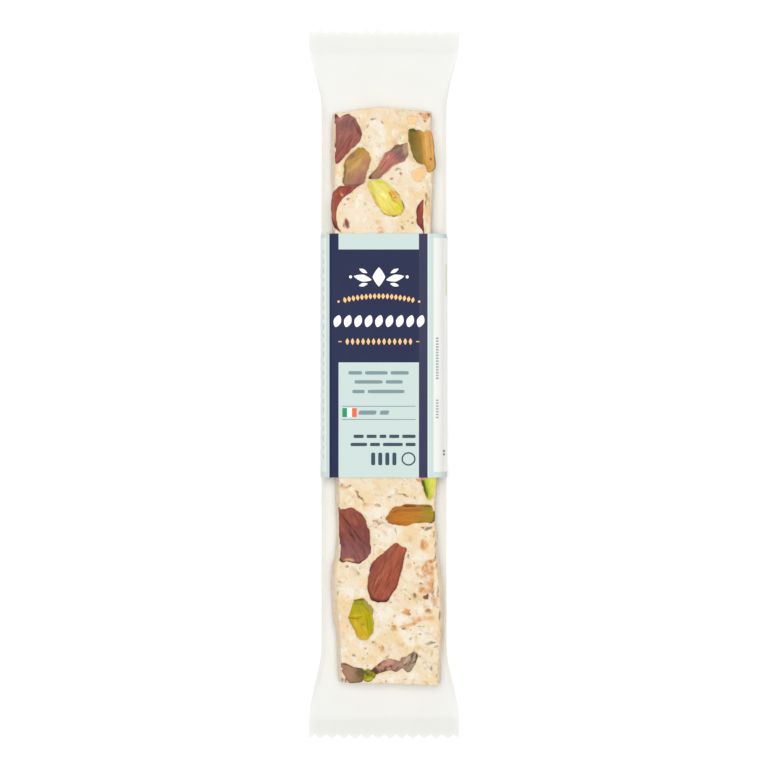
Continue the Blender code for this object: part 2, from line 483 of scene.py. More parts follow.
@dataclass(frozen=True)
class NougatFinish:
    """Chewy cream-coloured nougat with pale and toasted patches, fine crumbs and pores."""

    cream: Colour = (244, 227, 200)
    honey: Colour = (243, 217, 172)
    pale: Colour = (248, 241, 227)
    blush: Colour = (243, 214, 190)
    toast: Colour = (231, 178, 118)
    burnt: Colour = (198, 128, 78)
    crumb: Colour = (158, 136, 110)
    # shade: painted shade, laid in the low places of the relief and in the hollow round each nut
    shade: Colour = (196, 158, 118)
    # painted shade in the crevices
    crevice_shade: Colour = (104, 78, 56)
    # flank: a paler, warmer tone on the bar's sides, partly the cut sides' own honey colour and partly painted light
    # that brightens them
    flank: Colour = (251, 228, 200)

    def build(self, name: str) -> bpy.types.Material:
        """Cream mixed towards honey, pale, blush and toast by noise and by the stored values, with painted shade in low
        places, round the nuts and in the crevices, and a paler tone painted on the sides.
        """
        graph = NodeGraph(name)
        place = graph.position()
        broad = graph.noise(place, 110.0, 3.0, 0.55)
        patches = graph.noise(graph.stretched(place, (1.0, 0.7, 1.0)), 300.0, 4.0, 0.62)
        flaky = graph.noise(graph.stretched(place, (1.0, 1.4, 1.0)), 620.0, 5.0, 0.74)
        fine = graph.noise(place, 1500.0, 3.0, 0.6)
        colour = graph.mixed(graph.between(broad, 0.42, 0.62), opaque(self.cream), opaque(self.honey))
        pink = graph.noise(graph.stretched(place, (1.3, 1.0, 1.0)), 210.0, 4.0, 0.6)
        colour = graph.mixed(graph.maths("MULTIPLY", graph.between(pink, 0.5, 0.66), 0.5), colour, opaque(self.blush))
        pale = graph.maths("MULTIPLY", graph.value_of("pale"), graph.between(patches, 0.3, 0.52))
        whitish = graph.maths("ADD", graph.between(patches, 0.52, 0.66), pale, held=True)
        colour = graph.mixed(graph.maths("MULTIPLY", whitish, 0.85), colour, opaque(self.pale))
        # the sides take the flank tone: partly their own colour, partly painted light
        colour = graph.mixed(graph.maths("MULTIPLY", graph.value_of("side"), 0.75), colour, opaque(self.flank))
        # painted shade in the low places of the fine relief
        low = graph.maths("MULTIPLY", graph.between(graph.value_of("low"), 0.35, 1.0), 0.34)
        colour = graph.mixed(low, colour, opaque(self.shade))
        toast = graph.value_of("toast")
        scorch = graph.noise(graph.stretched(place, (1.0, 0.8, 1.0), (0.3, 0.2, 0.5)), 470.0, 5.0, 0.7)
        spread = graph.maths("MULTIPLY", graph.between(scorch, 0.34, 0.46), 0.92)
        colour = graph.mixed(graph.maths("MULTIPLY", toast, spread), colour, opaque(self.toast))
        burnt = graph.maths("MULTIPLY", toast, graph.between(scorch, 0.49, 0.59))
        colour = graph.mixed(graph.maths("MULTIPLY", burnt, 0.9), colour, opaque(self.burnt))
        askew = graph.stretched(place, (1.0, 1.2, 1.0), (0.4, 0.3, 0.7))
        dots = graph.between(graph.noise(askew, 2100.0, 2.0), 0.66, 0.74)
        gathered = graph.between(graph.noise(place, 190.0, 2.0), 0.46, 0.6)
        dots = graph.maths("MULTIPLY", graph.maths("MULTIPLY", dots, gathered), 0.45)
        colour = graph.mixed(dots, colour, opaque(self.crumb))
        # painted shade in the hollow round each nut
        hollow = graph.maths("MULTIPLY", graph.value_of("hollow"), 0.4)
        colour = graph.mixed(hollow, colour, opaque(self.shade))
        # painted shade in the crevices
        crevice_shade = graph.maths("MULTIPLY", graph.value_of("dark"), graph.between(flaky, 0.34, 0.5))
        colour = graph.mixed(graph.maths("MULTIPLY", crevice_shade, 0.74), colour, opaque(self.crevice_shade))
        grain = graph.bump(fine, 0.0002, 0.7)
        lumps = graph.bump(flaky, 0.0006, 0.6, grain)
        shader = graph.principled(
            Base_Color=colour,
            Roughness=graph.maths("ADD", graph.maths("MULTIPLY", patches, 0.25), 0.4),
            Specular_IOR_Level=0.1,
            Subsurface_Weight=0.1,
            Subsurface_Radius=(1.0, 0.7, 0.4),
            Subsurface_Scale=0.001,
            Normal=lumps,
        )
        return graph.finished(shader.outputs[0])


@dataclass(frozen=True)
class SkinFinish:
    """The skin or flesh of a nut, with streaks along it."""

    streak: tuple[float, float]
    contrast: float
    depth: float
    roughness: float

    def build(self, name: str) -> bpy.types.Material:
        """The stored tint, made darker and lighter by noise drawn out along the nut."""
        graph = NodeGraph(name)
        flat = graph.along_surface()
        streaks = graph.noise(graph.stretched(flat, (self.streak[0], self.streak[1], 1.0)), 1.0, 5.0, 0.68)
        blotch = graph.noise(graph.stretched(flat, (0.55, 0.8, 1.0)), 1.0, 3.0, 0.6)
        tint = graph.colour_of("tint")
        dark = graph.mixed(1.0, tint, (0.60, 0.54, 0.52, 1.0), "MULTIPLY")
        light = graph.mixed(1.0, tint, (1.28, 1.26, 1.24, 1.0), "MULTIPLY")
        colour = graph.mixed(graph.maths("MULTIPLY", graph.between(streaks, 0.5, 0.32), self.contrast), tint, dark)
        colour = graph.mixed(graph.maths("MULTIPLY", graph.between(streaks, 0.5, 0.68), self.contrast), colour, light)
        colour = graph.mixed(graph.maths("MULTIPLY", graph.between(blotch, 0.56, 0.8), 0.3), colour, dark)
        shader = graph.principled(
            Base_Color=colour,
            Roughness=graph.maths("ADD", graph.maths("MULTIPLY", blotch, 0.2), self.roughness - 0.1),
            Specular_IOR_Level=0.07,
            Normal=graph.bump(streaks, self.depth, 0.7),
        )
        return graph.finished(shader.outputs[0])


@dataclass(frozen=True)
class FloorFinish:
    """A plain pale floor."""

    colour: Colour = (251, 251, 251)

    def build(self, name: str) -> bpy.types.Material:
        """An even matte white, with a trace of cloud."""
        graph = NodeGraph(name)
        cloud = graph.noise(graph.position(), 6.0)
        shade = graph.mixed(cloud, opaque(self.colour), opaque(tuple(c - 1 for c in self.colour)))
        return graph.finished(graph.principled(Base_Color=shade, Roughness=0.9).outputs[0])


# ---------------------------------------------------------------------------------------------
# The film
# ---------------------------------------------------------------------------------------------


@dataclass(frozen=True)
class PackEnd:
    """One end of the pack, by distance inwards from the tips of its teeth.

    direction is +1 for the far end and -1 for the near end. The outline narrows from the seal's
    width to the tube's between flare_from and flare_to, and the film opens from the seal to the
    bar's end at bar_distance.
    """

    direction: int
    flare_from: float
    flare_to: float
    bar_distance: float


@dataclass
class FilmSkin:
    """The clear film: a flat tube drawn tight over the bar and sealed flat across both ends."""

    far: PackEnd = PackEnd(1, 3.5 * MM, 28.0 * MM, 27.2 * MM)
    near: PackEnd = PackEnd(-1, 6.0 * MM, 32.0 * MM, 19.1 * MM)
    tube_half_width: float = 20.7 * MM
    bar_half_width: float = 17.45 * MM
    seal_length: float = 7.6 * MM
    seal_edge: float = 0.5 * MM
    sheet: float = 0.24 * MM
    ease: float = 0.25 * MM
    straightness: float = 0.65
    tooth_depth: float = 1.5 * MM
    teeth: int = 13
    steps_per_flank: int = 4
    seam_depth: float = 0.3 * MM
    seam_width: float = 9.7 * MM

    def __post_init__(self) -> None:
        """Reads the CAD solid's box: its length, its seal width and its top and underside."""
        low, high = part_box("film_wrap")
        self.half_length = float(high[1] - low[1]) / 2
        self.middle_y = float(high[1] + low[1]) / 2
        self.seal_half_width = float(high[0] - low[0]) / 2
        self.top = float(high[2]) + self.ease
        self.underside = float(low[2]) + self.seam_depth - self.ease
        self.seal_z = 6.2 * MM

    def rise(self, end: PackEnd, distance: Array) -> Array:
        """How far the film has opened: 0 in the flat seal and 1 from the end of the bar on."""
        opened = np.clip((distance - self.seal_length) / (end.bar_distance - self.seal_length), 0, 1)
        return self.straightness * opened + (1 - self.straightness) * smooth_step(opened)

    def half_width(self, end: PackEnd, distance: Array) -> Array:
        """The outline: the seal's width easing in to the tube's."""
        narrowed = smooth_step((distance - end.flare_from) / (end.flare_to - end.flare_from))
        tube = self.tube_half_width + self.ease * self.rise(end, distance)
        return self.seal_half_width - narrowed * (self.seal_half_width - tube)

    def notch(self, along: Array) -> Array:
        """How far the cut edge lies inside the tooth tips: a zigzag that starts and ends at a tip."""
        flanks = (along + 1) * self.teeth
        return self.tooth_depth * np.abs((flanks + 1) % 2 - 1)

    def folded(self, x: Array) -> Array:
        """How much of the back seam's thickness lies at x: 1 over the folded strip and 0 beside it."""
        return smooth_step((x + self.seam_width) / (0.5 * MM)) * smooth_step(-x / (0.5 * MM))

    def ring(self, end: PackEnd, distance: float, toothed: bool = False) -> Array:
        """One closed section, the upper sheet from left to right and the lower one back.

        The lower sheet stands out by the seam's fold where that lies against it.
        """
        rise = float(self.rise(end, distance))
        half_width = float(self.half_width(end, distance))
        side = self.seal_edge + (half_width - self.bar_half_width - self.seal_edge) * rise
        tube_half_height = (self.top - self.underside) / 2
        half_height = self.sheet / 2 + (tube_half_height - self.sheet / 2) * rise
        middle = self.seal_z + ((self.top + self.underside) / 2 - self.seal_z) * rise
        along = np.linspace(-1, 1, 2 * self.teeth * self.steps_per_flank + 1)
        x, z = quarter_turn(half_width, side, half_height, along)
        inwards = distance + (self.notch(along) if toothed else np.zeros_like(along))
        y = self.middle_y + end.direction * (self.half_length - inwards)
        fold = self.seam_depth * (0.2 + 0.5 * rise) * self.folded(x)
        upper = np.column_stack([x, y, middle + z])
        lower = np.column_stack([x, y, middle - z - fold])
        return np.concatenate([upper, lower[-2:0:-1]])

    def distances(self, end: PackEnd) -> Array:
        """Where the sections of one end lie, closest together where the film opens."""
        seal = np.linspace(self.tooth_depth + 0.3 * MM, self.seal_length, 5)
        tent = np.linspace(self.seal_length, end.bar_distance, 25)[1:]
        return np.concatenate([seal, tent, np.linspace(end.bar_distance, end.flare_to, 10)[1:]])

    def shape(self) -> Shape:
        """The whole film as one closed balloon, with how much of each point is sealed."""
        near = [self.ring(self.near, 0.0, True)] + [self.ring(self.near, d) for d in self.distances(self.near)]
        far = [self.ring(self.far, 0.0, True)] + [self.ring(self.far, d) for d in self.distances(self.far)]
        length = 2 * self.half_length
        tube = np.linspace(length - self.near.flare_to, self.far.flare_to, 70)[1:-1]
        rings = np.array(near + [self.ring(self.far, d) for d in tube] + far[::-1])
        rows, columns = rings.shape[:2]
        faces: list[Sequence[int]] = grid_faces(rows, columns, wrap=True).tolist()
        for start in (0, (rows - 1) * columns):
            for i in range(columns // 2):
                strip = [start + i, start + i + 1, start + (columns - i - 1) % columns, start + (-i) % columns]
                faces.append(list(dict.fromkeys(strip)))
        points = rings.reshape(-1, 3)
        from_end = self.half_length - np.abs(points[:, 1] - self.middle_y)
        sealed = 1 - smooth_step((from_end - self.seal_length + 0.6 * MM) / (1.2 * MM))
        doubled = 0.15 * self.folded(points[:, 0]) * (points[:, 2] < self.seal_z)
        sealed = np.maximum(sealed, doubled)
        return Shape(points, faces, measures={"seal": sealed})

    def build(self) -> None:
        """Makes the film."""
        finish = FilmFinish().build("clear_film")
        add_piece("film_skin", self.shape(), [finish], Slot.FILM, replaces="film_wrap", sharp=60)


# ---------------------------------------------------------------------------------------------
# The printed band
# ---------------------------------------------------------------------------------------------


class Ink(Enum):
    """The printed colours of the band."""

    MINT = (196, 212, 209)
    PALE_MINT = (210, 223, 218)
    DEEP_MINT = (192, 210, 206)
    PAPER = (227, 227, 225)
    # paper on the band's right side, printed lighter: painted light
    SIDE_PAPER = (243, 245, 243)
    # paper on the band's left side, printed darker: painted shade
    LEFT_PAPER = (227, 236, 233)
    NAVY = (37, 43, 75)
    # a lighter navy for the right stripe: a painted sheen
    DUSK = (55, 57, 85)
    WHITE = (246, 246, 248)
    GOLD = (243, 195, 128)
    SLATE = (122, 146, 150)
    INKY = (57, 76, 90)
    GREEN = (27, 152, 92)
    CORAL = (236, 104, 72)
    LIME = (205, 210, 110)
    FOLD = (205, 214, 212)
    FAINT = (196, 205, 205)


@dataclass(frozen=True)
class Field:
    """A rectangle of one colour on the band, in millimetres, seen from above."""

    left: float
    right: float
    low: float
    high: float
    ink: Ink


@dataclass(frozen=True)
class Mark:
    """One small printed shape, by its middle and size in millimetres.

    Its outline is x = width/2 |cos t|^square and y = height/2 |sin t|^square, with the signs of
    cos and sin: near 0 it is a rectangle, 1 is an oval and 2 is a lozenge.
    """

    x: float
    y: float
    width: float
    height: float
    square: float
    ink: Ink
    degrees: float = 0.0
    layer: int = 1
    slant: float = 0.0


def bars(left: float, right: float, y: float, height: float, parts: Sequence[float], ink: Ink, slant: float = 0.0) -> list[Mark]:
    """A row of bars.

    Args:
        left: where the row starts.
        right: where it ends.
        y: its middle height on the band.
        height: how tall the bars are.
        parts: the bars' lengths compared with each other.
        ink: their colour.
        slant: how far the tops lean to the right for each millimetre of height.

    Returns:
        One mark for each bar, with equal gaps.
    """
    gap = 0.9 * height
    room = (right - left) - gap * (len(parts) - 1)
    lengths = np.array(parts) / sum(parts) * room
    starts = left + np.concatenate([[0], np.cumsum(lengths + gap)[:-1]])
    return [Mark(float(s + w / 2), y, float(w), height, 0.3, ink, slant=slant) for s, w in zip(starts, lengths)]


@dataclass
class LabelBand:
    """The paper band, wrapped round the film's middle, with fields and shapes of colour on it."""

    tube_half_width: float = 20.7 * MM
    side_bulge: float = 3.25 * MM
    paper: float = 0.14 * MM
    ink_height: float = 0.02 * MM
    crown: float = 0.0

    def __post_init__(self) -> None:
        """Reads the CAD solid's box and measures the way round the band from the top's middle."""
        low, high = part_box("label_band")
        self.low_y, self.high_y = float(low[1]), float(high[1])
        self.middle_z = float(low[2] + high[2]) / 2
        self.half_height = float(high[2] - low[2]) / 2 - 2 * self.ink_height
        self.half_width = float(high[0] - low[0]) / 2 - 2 * self.ink_height
        side = self.side_bulge + self.half_width - self.tube_half_width
        x, z = quarter_turn(self.half_width, side, self.half_height, np.linspace(0, 1, 600))
        self.profile_x = np.concatenate([x, x[-2::-1]])
        self.profile_z = np.concatenate([z, -z[-2::-1]])
        steps = np.hypot(np.diff(self.profile_x), np.diff(self.profile_z))
        self.profile_length = np.concatenate([[0], np.cumsum(steps)])
        self.half_way_round = float(self.profile_length[-1])

    def round_to(self, x: float) -> float:
        """The distance round the band, from the top's middle, of a place seen at x from above."""
        upper = len(self.profile_x) // 2 + 1
        return float(np.sign(x) * np.interp(abs(x), self.profile_x[:upper], self.profile_length[:upper]))

    def at(self, around: Array, y: Array, lift: Array | float) -> Array:
        """Places on the band.

        Args:
            around: distance round the band from the top's middle, positive to the right.
            y: place along the pack.
            lift: height over the paper's outer face.

        Returns:
            The points, with x, y and z last.
        """
        way = np.abs(around)
        x = np.interp(way, self.profile_length, self.profile_x)
        z = np.interp(way, self.profile_length, self.profile_z)
        step = 0.1 * MM
        dx = np.interp(way + step, self.profile_length, self.profile_x) - np.interp(way - step, self.profile_length, self.profile_x)
        dz = np.interp(way + step, self.profile_length, self.profile_z) - np.interp(way - step, self.profile_length, self.profile_z)
        size = np.hypot(dx, dz)
        x, z = x - dz / size * lift, z + dx / size * lift
        return np.stack([np.sign(around) * x, np.broadcast_to(y, x.shape), self.middle_z + z], axis=-1)

    def fields(self) -> list[Field]:
        """The colour fields, later ones over earlier ones, in millimetres as seen from above."""
        top, bottom = self.high_y / MM, self.low_y / MM
        whole = self.half_way_round / MM
        return [
            Field(-whole, whole, bottom, top, Ink.MINT),
            Field(16.5, whole, bottom + 1.9, top - 1.4, Ink.PAPER),
            # painted light: the paper on the right side is printed lighter
            Field(20.0, whole, bottom + 1.9, top - 1.4, Ink.SIDE_PAPER),
            Field(-whole, -19.2, bottom, top, Ink.PALE_MINT),
            # painted shade: the paper on the left side is printed darker
            Field(-whole, -19.2, bottom + 1.9, top - 1.4, Ink.LEFT_PAPER),
            Field(-19.2, -18.15, bottom, top, Ink.MINT),
            Field(15.0, 16.5, bottom, top, Ink.DEEP_MINT),
            Field(14.5, 15.0, bottom, top, Ink.PALE_MINT),
            Field(-18.15, 11.6, bottom, top, Ink.NAVY),
            # painted sheen: the right stripe of the navy is printed lighter
            Field(11.6, 14.5, bottom, top, Ink.DUSK),
            Field(-15.1, 11.6, 44.9, top, Ink.MINT),
            Field(-15.1, 11.6, bottom, 6.95, Ink.MINT),
            Field(-15.1, 11.6, 44.75, 44.9, Ink.PALE_MINT),
            Field(-15.1, 11.6, 6.95, 7.15, Ink.PALE_MINT),
        ]

    def way_of(self, x: float) -> float:
        """A field's edge as a distance round, with x beyond the band's side taken as measured round."""
        return self.round_to(x * MM) if abs(x * MM) < self.half_width else float(np.sign(x)) * self.half_way_round

    def base_shape(self) -> Shape:
        """The paper as a closed sleeve: an outer and an inner sheet, joined at both open ends."""
        fields = self.fields()
        edges = {self.way_of(field.left) for field in fields} | {self.way_of(field.right) for field in fields}
        even = np.arange(-self.half_way_round, self.half_way_round, 0.7 * MM)
        clear = [way for way in even if min(abs(way - edge) for edge in edges) > 0.25 * MM]
        around = np.array(sorted([*clear, *(edge for edge in edges if edge < self.half_way_round - 1e-9)]))
        levels = {round(field.low, 3) for field in fields} | {round(field.high, 3) for field in fields}
        spread = np.linspace(self.low_y, self.high_y, 42) / MM
        apart = [y for y in spread if min(abs(y - level) for level in levels) > 0.5]
        stations = np.array(sorted([*apart, *levels])) * MM
        ways, ys = np.meshgrid(around, stations)
        outer = self.at(ways, ys, 0.0)
        inner = self.at(ways, ys, -self.paper)
        rows, columns = ways.shape
        sleeve = np.concatenate([inner[:1], outer, inner[::-1]])
        faces = grid_faces(rows + 1, columns, wrap=True)
        inner_faces = grid_faces(rows, columns, wrap=True) + (rows + 1) * columns
        points = sleeve[: 2 * rows + 1].reshape(-1, 3)[columns:]
        outer_faces = grid_faces(rows, columns, wrap=True)
        inner_start = rows * columns
        inner_faces = outer_faces[:, ::-1] + inner_start
        points = np.concatenate([outer.reshape(-1, 3), inner.reshape(-1, 3)])
        j = np.arange(columns)
        after = (j + 1) % columns
        last = (rows - 1) * columns
        near_rim = np.stack([j, inner_start + j, inner_start + after, after], axis=-1)
        far_rim = np.stack([last + j, last + after, inner_start + last + after, inner_start + last + j], axis=-1)
        faces = np.concatenate([outer_faces, inner_faces, near_rim, far_rim])
        row, column = np.divmod(np.arange(len(outer_faces)), columns)
        closing = np.append(around, self.half_way_round)
        middle_way = (closing[column] + closing[column + 1]) / 2
        middle_y = (stations[row] + stations[row + 1]) / 2 / MM
        palette = list(dict.fromkeys(field.ink for field in fields))
        chosen = np.zeros(len(outer_faces), int)
        for field in fields:
            inside = (middle_way > self.way_of(field.left)) & (middle_way < self.way_of(field.right))
            inside &= (middle_y > field.low) & (middle_y < field.high)
            chosen[inside] = palette.index(field.ink)
        plain = np.full(len(faces) - len(chosen), palette.index(Ink.PAPER))
        self.palette = palette
        return Shape(points, faces.tolist(), inks=np.concatenate([chosen, plain]))

    def marks(self) -> list[Mark]:
        """The plain printed shapes: ornaments, rows of bars, rules and a small striped field."""
        marks = [Mark(-1.7, 35.6, 4.2, 6.4, 1.7, Ink.WHITE)]
        for side in (-1, 1):
            marks += [
                Mark(-1.7 + side * 5.4, 35.2, 6.0, 2.3, 1.5, Ink.WHITE, side * 12),
                Mark(-1.7 + side * 5.2, 37.6, 3.0, 1.2, 1.5, Ink.WHITE, side * 28),
                Mark(-1.7 + side * 5.2, 33.0, 3.0, 1.2, 1.5, Ink.WHITE, side * -14),
                Mark(-1.7 + side * 9.4, 35.6, 1.0, 1.0, 1.0, Ink.WHITE),
            ]
        for step in range(-8, 9):
            across = step / 8
            marks.append(Mark(-1.7 + 11.3 * across, 29.2 - 1.3 * across**2, 1.15, 1.9, 1.6, Ink.GOLD, -12 * across))
        marks += [Mark(-1.7 + side * 13.4, 27.4, 0.8, 0.8, 1.0, Ink.GOLD) for side in (-1, 1)]
        for step in range(9):
            marks.append(Mark(-15.5 + 3.46 * step, 20.9, 2.5, 4.1, 1.25, Ink.WHITE, -18))
        marks += [Mark(-12.2 + 1.75 * step, 14.1, 1.15, 2.2, 1.6, Ink.GOLD) for step in range(13)]
        marks += [Mark(-1.7 + side * 12.9, 14.1, 1.1, 0.32, 0.3, Ink.GOLD) for side in (-1, 1)]
        marks += bars(-11.8, 8.2, 3.7, 1.15, (3, 5, 4), Ink.SLATE)
        marks += bars(-9.8, 6.2, 0.7, 1.15, (5, 3), Ink.SLATE)
        marks += bars(-10.5, 6.8, -2.5, 1.15, (2, 6), Ink.SLATE)
        marks += [Mark(-1.75, y, 24.5, 0.26, 0.1, Ink.SLATE) for y in (-7.4, -11.8)]
        flag = (Ink.GREEN, Ink.WHITE, Ink.CORAL)
        marks += [Mark(-13.05 + 1.6 * i, -9.5, 1.6, 3.0, 0.08, ink) for i, ink in enumerate(flag)]
        marks += bars(-8.4, 1.6, -9.5, 1.4, (4, 2), Ink.SLATE, slant=0.3)
        marks += bars(-10.1, 10.5, -17.4, 1.1, (3, 3, 2, 3, 4), Ink.INKY)
        marks += bars(-11.1, 10.5, -20.1, 1.1, (5, 3, 6, 3), Ink.INKY)
        marks += [Mark(-3.6 + 2.35 * i, -24.9, 1.35, 4.2, 0.35, Ink.INKY) for i in range(4)]
        marks += [Mark(8.15, -24.9, 4.7, 4.5, 1.0, Ink.INKY), Mark(8.15, -24.9, 3.7, 3.5, 1.0, Ink.MINT, layer=2)]
        marks.append(Mark(16.35, 9.4, 0.16, 79.0, 0.1, Ink.FOLD))
        return marks

    def side_marks(self) -> list[Mark]:
        """The small upright rows on the band's two sides, by distance round in millimetres."""
        right = self.way_of(17.7) / MM
        far_right = self.way_of(20.0) / MM
        left = self.way_of(-20.2) / MM
        marks = [Mark(right, 15.2 - 0.95 * i, 0.85, 0.55, 0.4, Ink.SLATE) for i in range(15)]
        marks += [Mark(right, -5.4 - 0.95 * i, 0.85, 0.5, 0.4, Ink.SLATE) for i in range(7)]
        marks.append(Mark(self.way_of(20.75) / MM, 34.9, 1.2, 10.6, 0.15, Ink.LIME))
        marks += [Mark(far_right, y, 1.3, 0.7, 0.4, Ink.INKY) for y in (-22.3, -23.4)]
        marks.append(Mark(self.way_of(20.3) / MM, 9.4, 0.12, 77.0, 0.1, Ink.FOLD))
        marks += [Mark(left, 44.0 - 3.1 * i, 0.7, 1.1 + 0.5 * (i % 3), 0.4, Ink.FAINT) for i in range(23)]
        return marks

    def mark_shape(self, marks: Sequence[Mark]) -> Shape:
        """Thin closed prisms for marks of one colour, worked out for all of them at once."""
        count, sides = len(marks), 40
        t = np.linspace(0, 2 * np.pi, sides, endpoint=False) + np.pi / sides
        size = np.array([(mark.width, mark.height) for mark in marks])[:, :, None] / 2
        square = np.array([mark.square for mark in marks])[:, None]
        x = size[:, 0] * np.sign(np.cos(t)) * np.abs(np.cos(t)) ** square
        y = size[:, 1] * np.sign(np.sin(t)) * np.abs(np.sin(t)) ** square
        x = x + np.array([mark.slant for mark in marks])[:, None] * y
        turn = np.radians([mark.degrees for mark in marks])[:, None]
        across = np.array([mark.x for mark in marks])[:, None] + x * np.cos(turn) - y * np.sin(turn)
        up = np.array([mark.y for mark in marks])[:, None] + x * np.sin(turn) + y * np.cos(turn)
        lift = np.array([mark.layer for mark in marks])[:, None] * self.ink_height
        top = self.at(across * MM, up * MM, np.broadcast_to(lift, across.shape))
        base = self.at(across * MM, up * MM, np.full(across.shape, -0.3 * self.paper))
        points = np.stack([base, top], axis=1).reshape(-1, 3)
        j = np.arange(sides)
        ring = np.stack([j, (j + 1) % sides, (j + 1) % sides + sides, j + sides], axis=-1)
        starts = np.arange(count) * 2 * sides
        faces: list[Sequence[int]] = (ring[None] + starts[:, None, None]).reshape(-1, 4).tolist()
        faces += (j[None, ::-1] + starts[:, None]).tolist()
        faces += (j[None] + sides + starts[:, None]).tolist()
        return Shape(points, faces)

    def build(self) -> None:
        """Makes the paper band and one piece for each printed colour."""
        base = self.base_shape()
        papers = [PaperFinish(ink.value).build(f"paper_{ink.name.lower()}") for ink in self.palette]
        add_piece("label_band_paper", base, papers, Slot.LABEL, replaces="label_band", sharp=50)
        marks = self.marks() + self.side_marks()
        for ink in dict.fromkeys(mark.ink for mark in marks):
            chosen = [mark for mark in marks if mark.ink is ink]
            finish = PaperFinish(ink.value, roughness=0.36).build(f"print_{ink.name.lower()}")
            add_piece(f"label_print_{ink.name.lower()}", self.mark_shape(chosen), [finish], Slot.LABEL, sharp=50)


# ---------------------------------------------------------------------------------------------
# The nougat and its nuts
# ---------------------------------------------------------------------------------------------


class NutKind(Enum):
    """What a bit in the nougat is."""

    ALMOND = "almond"
    PISTACHIO = "pistachio"
    FRUIT = "fruit"
    CANDY = "candy"


class BarFace(Enum):
    """The bar's faces, each as its rightward, upward and outward directions."""

    TOP = ((1, 0, 0), (0, 1, 0), (0, 0, 1))
    BOTTOM = ((-1, 0, 0), (0, 1, 0), (0, 0, -1))
    LEFT = ((0, -1, 0), (0, 0, 1), (-1, 0, 0))
    RIGHT = ((0, 1, 0), (0, 0, 1), (1, 0, 0))
    FAR = ((-1, 0, 0), (0, 0, 1), (0, 1, 0))
    NEAR = ((1, 0, 0), (0, 0, 1), (0, -1, 0))


@dataclass(frozen=True)
class Patch:
    """An oval patch with a soft edge, by its middle, length, width and turn, in millimetres.

    cover is its strength, colour what it turns a nut to, and rise how far it stands up.
    """

    x: float
    y: float
    length: float
    width: float
    degrees: float = 0.0
    cover: float = 0.8
    colour: Colour = (0, 0, 0)
    rise: float = 0.0

    def at(self, places: Array, wander: Array) -> Array:
        """Its presence at each place, from 1 in the middle to 0 past its edge.

        Args:
            places: x and y of each place on the face.
            wander: noise between -1 and 1 there, which frays the edge.

        Returns:
            1 to six tenths of the way out, easing to 0 at fourteen tenths.
        """
        turn = math.radians(self.degrees)
        gap = places - np.array([self.x, self.y])
        along = gap[..., 0] * math.cos(turn) + gap[..., 1] * math.sin(turn)
        aside = gap[..., 1] * math.cos(turn) - gap[..., 0] * math.sin(turn)
        out = np.hypot(2 * along / self.length, 2 * aside / self.width) + 0.3 * wander
        return 1 - smooth_step((out - 0.6) / 0.8)


@dataclass(frozen=True)
class Nut:
    """One nut or bit, by its outline on a face of the bar.

    Colours run through shades in the direction of shade_degrees, strayed by mottle, and turn to
    rim at the edge turned from the light: a painted shade, which on the cut nuts is also their
    brown skin. crown is how far it stands out, in millimetres, and ridge how steeply it falls to
    both sides of its length.
    """

    name: str
    kind: NutKind
    outline: Outline
    length_degrees: float
    shades: tuple[Colour, ...]
    shade_degrees: float
    # rim: painted shade on the edge turned from the light, and on the cut nuts their skin too
    rim: Colour
    crown: float = 0.42
    ridge: float = 0.0
    rim_width: float = 0.10
    face: BarFace = BarFace.TOP
    mottle: float = 0.12
    spots: tuple[Patch, ...] = ()


